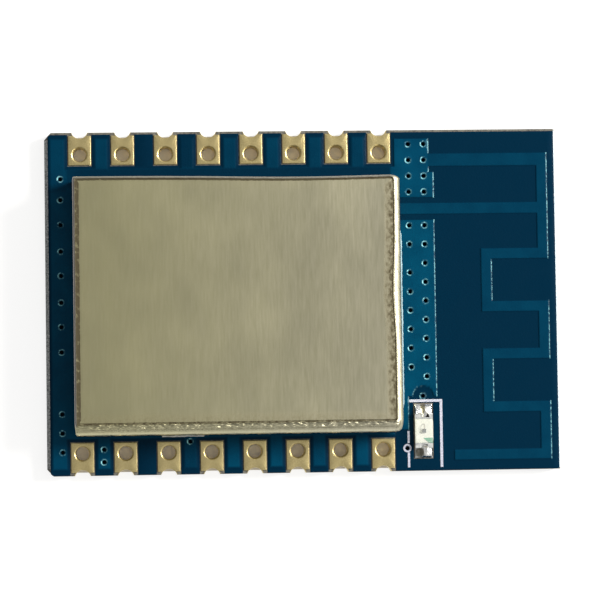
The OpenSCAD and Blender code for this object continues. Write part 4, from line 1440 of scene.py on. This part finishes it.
            rows.append((place + walk.normal * (worn * np.cos(angle))[:, None],
                         centre + worn * np.sin(angle),
                         self.second_line[1] * streak * (k == self.second_line[0]), beaten, grey))
        begin, bottom = centre + radius * np.sin(tilt), self.bottoms(walk.place)
        flare = self.flare * streak * (bottom == self.foot)
        for t in self.wall:
            z = begin + t * (bottom - begin)
            reach = radius * np.cos(tilt) + (begin - z) * lean + flare * t ** 2
            reach -= self.ragged * t * streak * (1 + rough)
            rows.append((place + walk.normal * reach[:, None], z, none, none, grey))
        flat, height, *tones = (np.stack(part, 1) for part in zip(*rows))
        return np.concatenate([flat + middle, height[..., None]], -1), *tones

    def bottoms(self, place: np.ndarray) -> np.ndarray:
        """Height of the flap's lower edge: on the board at the feet, lifted between them.

        Args:
            place: places on the fold line, from the can's middle.

        Returns:
            The height at each place.
        """
        low = np.full(len(place), self.foot + self.lift)
        middle, half = self.fold_line()
        for edge, at, long in self.feet:
            n = np.array(edge.value)
            on_side = np.abs(place @ n - np.abs(n) @ half) < TINY
            along = (place + middle) @ np.abs(n[::-1])
            low[on_side & (np.abs(along - at) < long / 2 + self.foot_more)] = self.foot
        return low

    def build(self) -> None:
        """Makes the can as a closed thick sheet."""
        walk = self.walk()
        outer, etch, streak, grey = self.face(walk, 0.0)
        inner = self.face(walk, self.sheet)[0]
        around, down = outer.shape[:2]
        faces = grid_faces(around, down, wrap_rows=True)
        first, row = np.divmod(faces[:, 0], down)
        faces = faces[~(walk.slit[first] & (row >= down - len(self.wall) - 1))][:, ::-1]
        faces = np.where(faces % down == 0, 0, faces)
        shape = thicken(outer.reshape(-1, 3), inner.reshape(-1, 3), faces)
        place_piece("folded_can", shape, CAN, "nickel_silver_sheet", ("shield_can",), self.sharp,
                    etch=np.append(etch, 0 * etch), streak=np.tile(streak.ravel(), 2),
                    grey=np.tile(grey.ravel(), 2))


@dataclass(frozen=True)
class FootSolder:
    """Solder along a foot: length along the foot by a hollow section from board to flap.

    Attributes:
        start: distance of the flap's face from the board's middle.
        blunt: how soon it is full after its ends.
        seat: how far it reaches under the flap.
    """

    edge: Edge
    at: float
    long: float
    start: float
    wide: float
    high: float = 0.22
    waves: float = 0.2
    blunt: float = 6.0
    floor: float = 0.776
    seat: float = 0.06
    step: float = 0.06
    least: int = 24
    arc: int = 7

    def shape(self) -> Shape:
        """One fillet, drawn to a point at both ends.

        Returns:
            Points and quads.
        """
        s = np.linspace(0, 1, max(self.least, int(self.long / self.step)))
        ends = self.blunt * np.minimum(s, 1 - s) * max(1, self.long / 2)
        wave = 1 + self.waves * ripple(s * self.long, s * 0, self.at)
        size = (np.minimum(1, ends) ** 0.5 * wave)[:, None]
        turn = np.linspace(0, np.pi / 2, self.arc)
        out = np.concatenate([[0], self.wide * (1 - np.sin(turn)), [0]])
        under = np.array([self.seat] + [0.0] * self.arc + [self.seat])
        up = np.concatenate([[0], 1 - np.cos(turn), [1]])
        n = np.array(self.edge.value, dtype=float)
        along = np.abs(n[::-1])
        run = self.at + (s - 0.5) * self.long
        flat = n * (self.start + out * size - under)[..., None] + along * run[:, None, None]
        points = np.concatenate([flat, (self.floor + self.high * up * size)[..., None]], -1)
        faces = grid_faces(len(s), len(out), False, True)
        return points.reshape(-1, 3), faces if n[0] > n[1] else faces[:, ::-1]


@dataclass
class CanSolder:
    """The four fillets that hold the can."""

    long_one: FootSolder = FootSolder(Edge.RIGHT, -0.9, 8.6, 4.60, 0.27, 0.07, 0.15)
    short_ones: tuple[FootSolder, ...] = (
        FootSolder(Edge.FRONT, -5.68, 2.06, 6.17, 0.12, 0.25, 0.1, 40.0),
        FootSolder(Edge.BACK, -9.48, 1.0, 5.735, 0.1), FootSolder(Edge.LEFT, 0.0, 2.0, 10.63, 0.1))
    sharp: float = 60.0

    def build(self) -> None:
        """Makes the three short fillets as one piece, and the long one beside them."""
        place_piece("can_solder", join(fillet.shape() for fillet in self.short_ones),
                    FROSTED_LIT_SOLDER, "solder", ("shield_solder",), self.sharp)
        place_piece("can_solder_long", self.long_one.shape(), DULL_SOLDER, "solder",
                    sharp=self.sharp)


# LED


@dataclass
class SilkBracket:
    """White bracket round the LED: bars of ink with a ragged border and a grainy face.

    Attributes:
        ring: middle, inner and outer radius of the ink round a via.
    """

    low: float = 0.765
    high: float = 0.785
    sunk: float = 0.005
    bars: tuple[Rect, ...] = (
        (4.895, -4.79, 6.45, -4.66), (6.32, -7.835, 6.45, -4.79), (4.79, -6.7, 4.9, -6.13),
        (4.79, -7.835, 4.9, -7.13))
    ring: Rect = (4.78, -6.93, 0.112, 0.195)
    turns: int = 40
    pitch: float = 0.02
    least: int = 6
    ragged: float = 0.012
    grain: float = 0.006

    def bar(self, box: Rect, seed: float) -> Shape:
        """One bar as a thick sheet, whose border is drawn in by ripples.

        Args:
            box: its rectangle.
            seed: phase of the ragged border.

        Returns:
            Points and quads.
        """
        places, pulls = [], []
        for low, high in zip(box[:2], box[2:]):
            places.append(np.linspace(low, high, max(self.least, int((high - low) / self.pitch))))
            pulls.append(((places[-1] - (low + high) / 2) / (high - low) * 2) ** 5)
        x, y = np.meshgrid(*places, indexing="ij")
        rag = np.abs(self.ragged * ripple(x * 7, y * 7, seed))
        face = self.high - self.grain * (0.5 + 0.5 * ripple(x * 9, y * 9, seed + 2))
        x, y = x - rag * pulls[0][:, None], y - rag * pulls[1]
        return slab(points_of(x, y, face), points_of(x, y, self.low - self.sunk))

    def rim(self) -> Shape:
        """Ink that the bar leaves round a via: an angle by a section with a crowned face.

        Returns:
            Points and quads.
        """
        x, y, near, far = self.ring
        angle = np.linspace(0, 2 * np.pi, self.turns, endpoint=False)[:, None]
        radius = np.array([near, near, (near + far) / 2, far, far])
        edge = self.high - self.grain
        height = np.array([self.low, edge, self.high, edge, self.low])
        points = points_of(x + radius * np.cos(angle), y + radius * np.sin(angle), height)
        return points.reshape(-1, 3), grid_faces(len(angle), len(radius), True, True)[:, ::-1]

    def build(self) -> None:
        """Makes the bracket as one piece."""
        bars = [self.bar(box, 1.7 * k) for k, box in enumerate(self.bars)]
        place_piece("silk_bracket", join([*bars, self.rim()]), SILK, "white_ink", ("silkscreen",))


def rounded_block(low: np.ndarray, high: np.ndarray, power: float, turns: int = 48) -> Shape:
    """Superellipsoid: signed powers of cosine and sine of two angles, so a box with soft edges.

    Args:
        low: lowest corner in mm.
        high: highest corner in mm.
        power: 1 for an ellipsoid, near 0 for a box.
        turns: points round it.

    Returns:
        Points and quads, closed at both poles.
    """
    across = np.linspace(-np.pi, np.pi, turns, endpoint=False)[:, None]
    rise = np.linspace(-np.pi / 2, np.pi / 2, turns // 2 + 1)[None]
    cos_a, sin_a, cos_r, sin_r = (np.sign(v) * np.abs(v) ** power for v in (
        np.cos(across), np.sin(across), np.cos(rise), np.sin(rise)))
    points = (low + high) / 2 + points_of(cos_r * cos_a, cos_r * sin_a, sin_r) * (high - low) / 2
    return points.reshape(-1, 3), grid_faces(turns, turns // 2 + 1, wrap_rows=True)


@dataclass(frozen=True)
class SolderEnd:
    """Solder that climbs from the land to one end of the LED.

    Its height is a hollow curve of the distance from the toe, times a section of sloping
    facets across, with ripples from setting. Dark patches lie in rounded spots, each one less
    the sum of the squares of the distances across and along over the spot's sizes, steepened.

    Attributes:
        way: 1 for the back end and -1 for the front end.
        rise: power of the distance from the toe, lower for a steeper toe.
        facets: places across, from -1 to 1, and heights there.
        spots: dark patches, as place across, place along, sizes across and along, and cover.
    """

    way: float
    rise: float
    facets: tuple[tuple[float, ...], ...]
    spots: tuple[tuple[float, ...], ...]
    long: float = 0.62
    high: float = 0.34
    foot: float = 0.02
    least: float = 0.01
    wave: float = 0.008
    border: float = 8.0
    spot_edge: float = 1.6
    steps: tuple[int, int] = (61, 31)

    def shape(self) -> tuple[Shape, np.ndarray]:
        """The solder and its dark patches.

        Returns:
            Points and quads, and how far a dark patch covers each point.
        """
        low, high = node_box("led_solder")
        across = np.linspace(-1, 1, self.steps[0])[:, None]
        climb = np.linspace(0, 1, self.steps[1])[None]
        x = (low[0] + high[0]) / 2 + across * (high[0] - low[0]) / 2
        y = (high[1] if self.way > 0 else low[1]) - self.way * self.long * climb
        wave = self.wave * ripple(x * 3 + self.way, y * 3, 0.8) * np.sin(np.pi * climb)
        body = self.high * climb ** self.rise * np.interp(across, *self.facets) + wave
        border = (np.minimum(1, self.border * (1 - np.abs(across)))
                  * np.minimum(1, self.border * climb))
        z = np.minimum(low[2] + self.foot + np.maximum(self.least, body) * border, high[2])
        cover = [most * np.clip(self.spot_edge * (
            1 - ((across - a) / wide) ** 2 - ((climb - b) / long) ** 2), 0, 1)
            for a, b, wide, long, most in self.spots]
        solid = slab(points_of(x, y, z), points_of(x, y, low[2]), self.way > 0)
        return solid, np.tile(np.max(cover, 0).ravel(), 2)


@dataclass
class StatusLight:
    """Chip LED: softened resin, solder and polarity mark round the CAD base, chip and wire."""

    lens_power: float = 0.22
    ends: tuple[SolderEnd, ...] = (
        SolderEnd(-1.0, 0.12, ((-1, -0.5, 0.0, 0.1, 1), (0.02, 0.3, 0.8, 0.85, 0.25)),
                  ((-0.5, 0.4, 0.6, 0.45, 1.0), (0.35, 0.82, 0.6, 0.1, 0.9))),
        SolderEnd(1.0, 0.5, ((-1, -0.35, 0.15, 1), (0.5, 0.35, 1.0, 0.45)),
                  ((-0.07, 0.1, 0.34, 0.4, 1.0), (-0.02, 0.5, 0.2, 0.28, 1.0),
                   (-0.48, 0.8, 0.28, 0.2, 1.0), (0.5, 0.68, 0.45, 0.07, 0.8))))
    mark: Rect = (5.5, -6.69, 5.96, -6.46)
    mark_slant: float = 0.26
    mark_steps: tuple[int, int] = (12, 8)
    mark_high: float = 0.008
    mark_thick: float = 0.01

    def build(self) -> None:
        """Makes the resin block, the solder and the polarity mark."""
        place_piece("led_resin", rounded_block(*node_box("led_lens"), self.lens_power), RESIN,
                    "clear_resin", ("led_lens",))
        shapes, flux = zip(*(end.shape() for end in self.ends))
        place_piece("led_solder_ramps", join(shapes), BRIGHT_SOLDER, "solder", ("led_solder",),
                    flux=np.concatenate(flux))
        left, front, right, back = self.mark
        u, v = (np.linspace(0, 1, count) for count in self.mark_steps)
        x = right - (1 - u[:, None]) * (right - left - self.mark_slant * (1 - v))
        level = node_box("led_base")[1][2] + self.mark_high
        face = points_of(x, front + v * (back - front), level)
        place_piece("led_polarity_mark", slab(face, face - [0, 0, self.mark_thick]), GREEN,
                    "white_ink")


# CAD pieces


@dataclass
class PlainParts:
    """Pieces that keep their CAD shapes: core and copper, the LED's inside, parts in the can.

    Attributes:
        finishes: look of each node, or of all whose names start alike.
    """

    finishes: dict[str, Finish] = field(default_factory=lambda: {
        "laminate_core": LAMINATE, "ground_pour": COPPER, "antenna_trace": COPPER,
        "component_lands": COPPER, "via_barrels": BARREL, "led_base": WHITE,
        "led_terminals": SOLDER, "led_die": DIE, "led_bond_wire": WIRE, "radio_chip_body": BLACK,
        "radio_chip_leads": SOLDER, "flash_body": BLACK, "flash_leads": SOLDER,
        "crystal_base": CERAMIC, "crystal_lid": CAN, "capacitor": TAN, "resistor": BLACK,
        "inductor": GREY})

    def build(self) -> None:
        """Gives each node the finish of its material."""
        for start, finish in self.finishes.items():
            for name in (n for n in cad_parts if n.startswith(start)):
                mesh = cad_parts[name].data
                mesh.materials.clear()
                mesh.materials.append(finish.material())
                LOG.info("%s: CAD shape in %s", name, finish.name)


# Studio


@dataclass
class Studio:
    """Pale floor, brown card under the part, one soft window, a dim dome and the camera.

    Attributes:
        dome: strength of the dome on the left and on the right.
        papers: name, material, half length and width, height, lit tone, how far it is lit and
            shaded tone of the floor and the card.
    """

    eye: Triple = (-6.81, -5.93, 119.66)
    right: Triple = (0.99836, -0.01485, 0.05523)
    up: Triple = (0.01204, 0.99863, 0.05097)
    back: Triple = (-0.05591, -0.05023, 0.99717)
    lens: float = 153.03
    sensor: float = 36.0
    window_place: Triple = (150.0, 45.0, 110.0)
    window_size: Pair = (60.0, 65.0)
    window_power: float = 0.6
    window_tone: str = "#fffaf2"
    dome: Pair = (0.2, 0.8)
    dome_tone: str = "#fdfbf6"
    bounce: str = "#dedede"
    papers: tuple[tuple, ...] = (
        ("floor", "pale studio paper", 4000.0, 4000.0, -0.02, "#ffffff", 0.8, "#a0a0a0"),
        ("card", "pale brown card", 11.85, 7.85, -0.01, "#e0d6ce", 0.05, "#f6f2ee"))

    def plane(self, name: str, half: Pair, level: float,
              material: Material) -> None:
        """Lays a flat stage plane.

        Args:
            name: name of the plane.
            half: half its length and width in mm.
            level: height in mm.
            material: its material.
        """
        mesh = bpy.data.meshes.new(name)
        corners = np.array([(-1, -1, 1), (1, -1, 1), (1, 1, 1), (-1, 1, 1)])
        mesh.from_pydata((corners * (*half, level) * MM).tolist(), [], [(0, 1, 2, 3)])
        mesh.materials.append(material)
        plane = add_object(name, mesh)

    def paper(self, name: str, tone: str, glow: float, shade: str) -> Material:
        """Pale paper that is light to the eye and in reflections, with the part's shadow kept.

        Args:
            name: name of the material.
            tone: sRGB hex of what the eye sees lit up.
            glow: how far it is lit up, where 1 is white.
            shade: sRGB hex of the share that takes light and shadow.

        Returns:
            The material.
        """
        made = blank_material(name)
        tree = made.node_tree
        rays = add_node(tree, "ShaderNodeLightPath", {}).outputs
        seen = rays["Is Camera Ray"]
        for other in ("Is Glossy Ray", "Is Transmission Ray"):
            seen = add_node(tree, "ShaderNodeMath", {0: seen, 1: rays[other]},
                            operation="MAXIMUM").outputs[0]
        plain, faint = (add_node(tree, "ShaderNodeBsdfDiffuse", {"Color": srgb(code)}).outputs[0]
                        for code in (self.bounce, shade))
        lit = add_node(tree, "ShaderNodeEmission", {"Color": srgb(tone), "Strength": glow})
        both = add_node(tree, "ShaderNodeAddShader", {0: faint, 1: lit.outputs[0]})
        mixed = add_node(tree, "ShaderNodeMixShader", {0: seen, 1: plain, 2: both.outputs[0]})
        add_node(tree, "ShaderNodeOutputMaterial", {"Surface": mixed.outputs[0]})
        return made

    def light(self) -> None:
        """Hangs the window up at the right and dims the dome."""
        lamp = bpy.data.lights.new("window", "AREA")
        lamp.shape = "RECTANGLE"
        lamp.size, lamp.size_y = (s * MM for s in self.window_size)
        lamp.energy = self.window_power
        lamp.color = srgb(self.window_tone)[:3]
        at = np.array(self.window_place)
        z = at / np.linalg.norm(at)
        x = np.cross((0, 0, 1), z)
        x /= np.linalg.norm(x)
        turn = Matrix(np.column_stack([x, np.cross(z, x), z]).tolist())
        window = add_object("window", lamp)
        window.matrix_world = Matrix.Translation(at * MM) @ turn.to_4x4()
        world = bpy.data.worlds.new("dome")
        world.use_nodes = True
        tree = world.node_tree
        way = add_node(tree, "ShaderNodeTexCoord", {}).outputs["Generated"]
        side = add_node(tree, "ShaderNodeSeparateXYZ", {0: way}).outputs[0]
        level = add_node(tree, "ShaderNodeMapRange", {
            0: side, 1: -1.0, 2: 1.0, 3: self.dome[0], 4: self.dome[1]}).outputs[0]
        sky = tree.nodes["Background"]
        sky.inputs["Color"].default_value = srgb(self.dome_tone)
        tree.links.new(level, sky.inputs["Strength"])
        bpy.context.scene.world = world

    def camera(self) -> None:
        """Sets the camera where the photograph was taken from."""
        data = bpy.data.cameras.new("camera")
        data.lens = self.lens
        data.sensor_width = self.sensor
        data.clip_start = MM
        turn = Matrix([list(row) for row in zip(self.right, self.up, self.back)])
        camera = add_object("camera", data)
        camera.matrix_world = Matrix.Translation(np.array(self.eye) * MM) @ turn.to_4x4()
        bpy.context.scene.camera = camera

    def build(self) -> None:
        """Sets the stage, the light and the camera."""
        bpy.context.scene.view_settings.view_transform = "Standard"
        for name, material, long, wide, level, *look in self.papers:
            self.plane(name, (long, wide), level, self.paper(material, *look))
        self.light()
        self.camera()


def main() -> None:
    """Builds and dresses the module, then the studio."""
    logging.basicConfig(level=logging.INFO, format="%(name)s %(message)s")
    for piece in (BoardStack(), ShieldCan(), CanSolder(), SilkBracket(), StatusLight(),
                  PlainParts(), Studio()):
        piece.build()


if __name__ == "__main__":
    main()
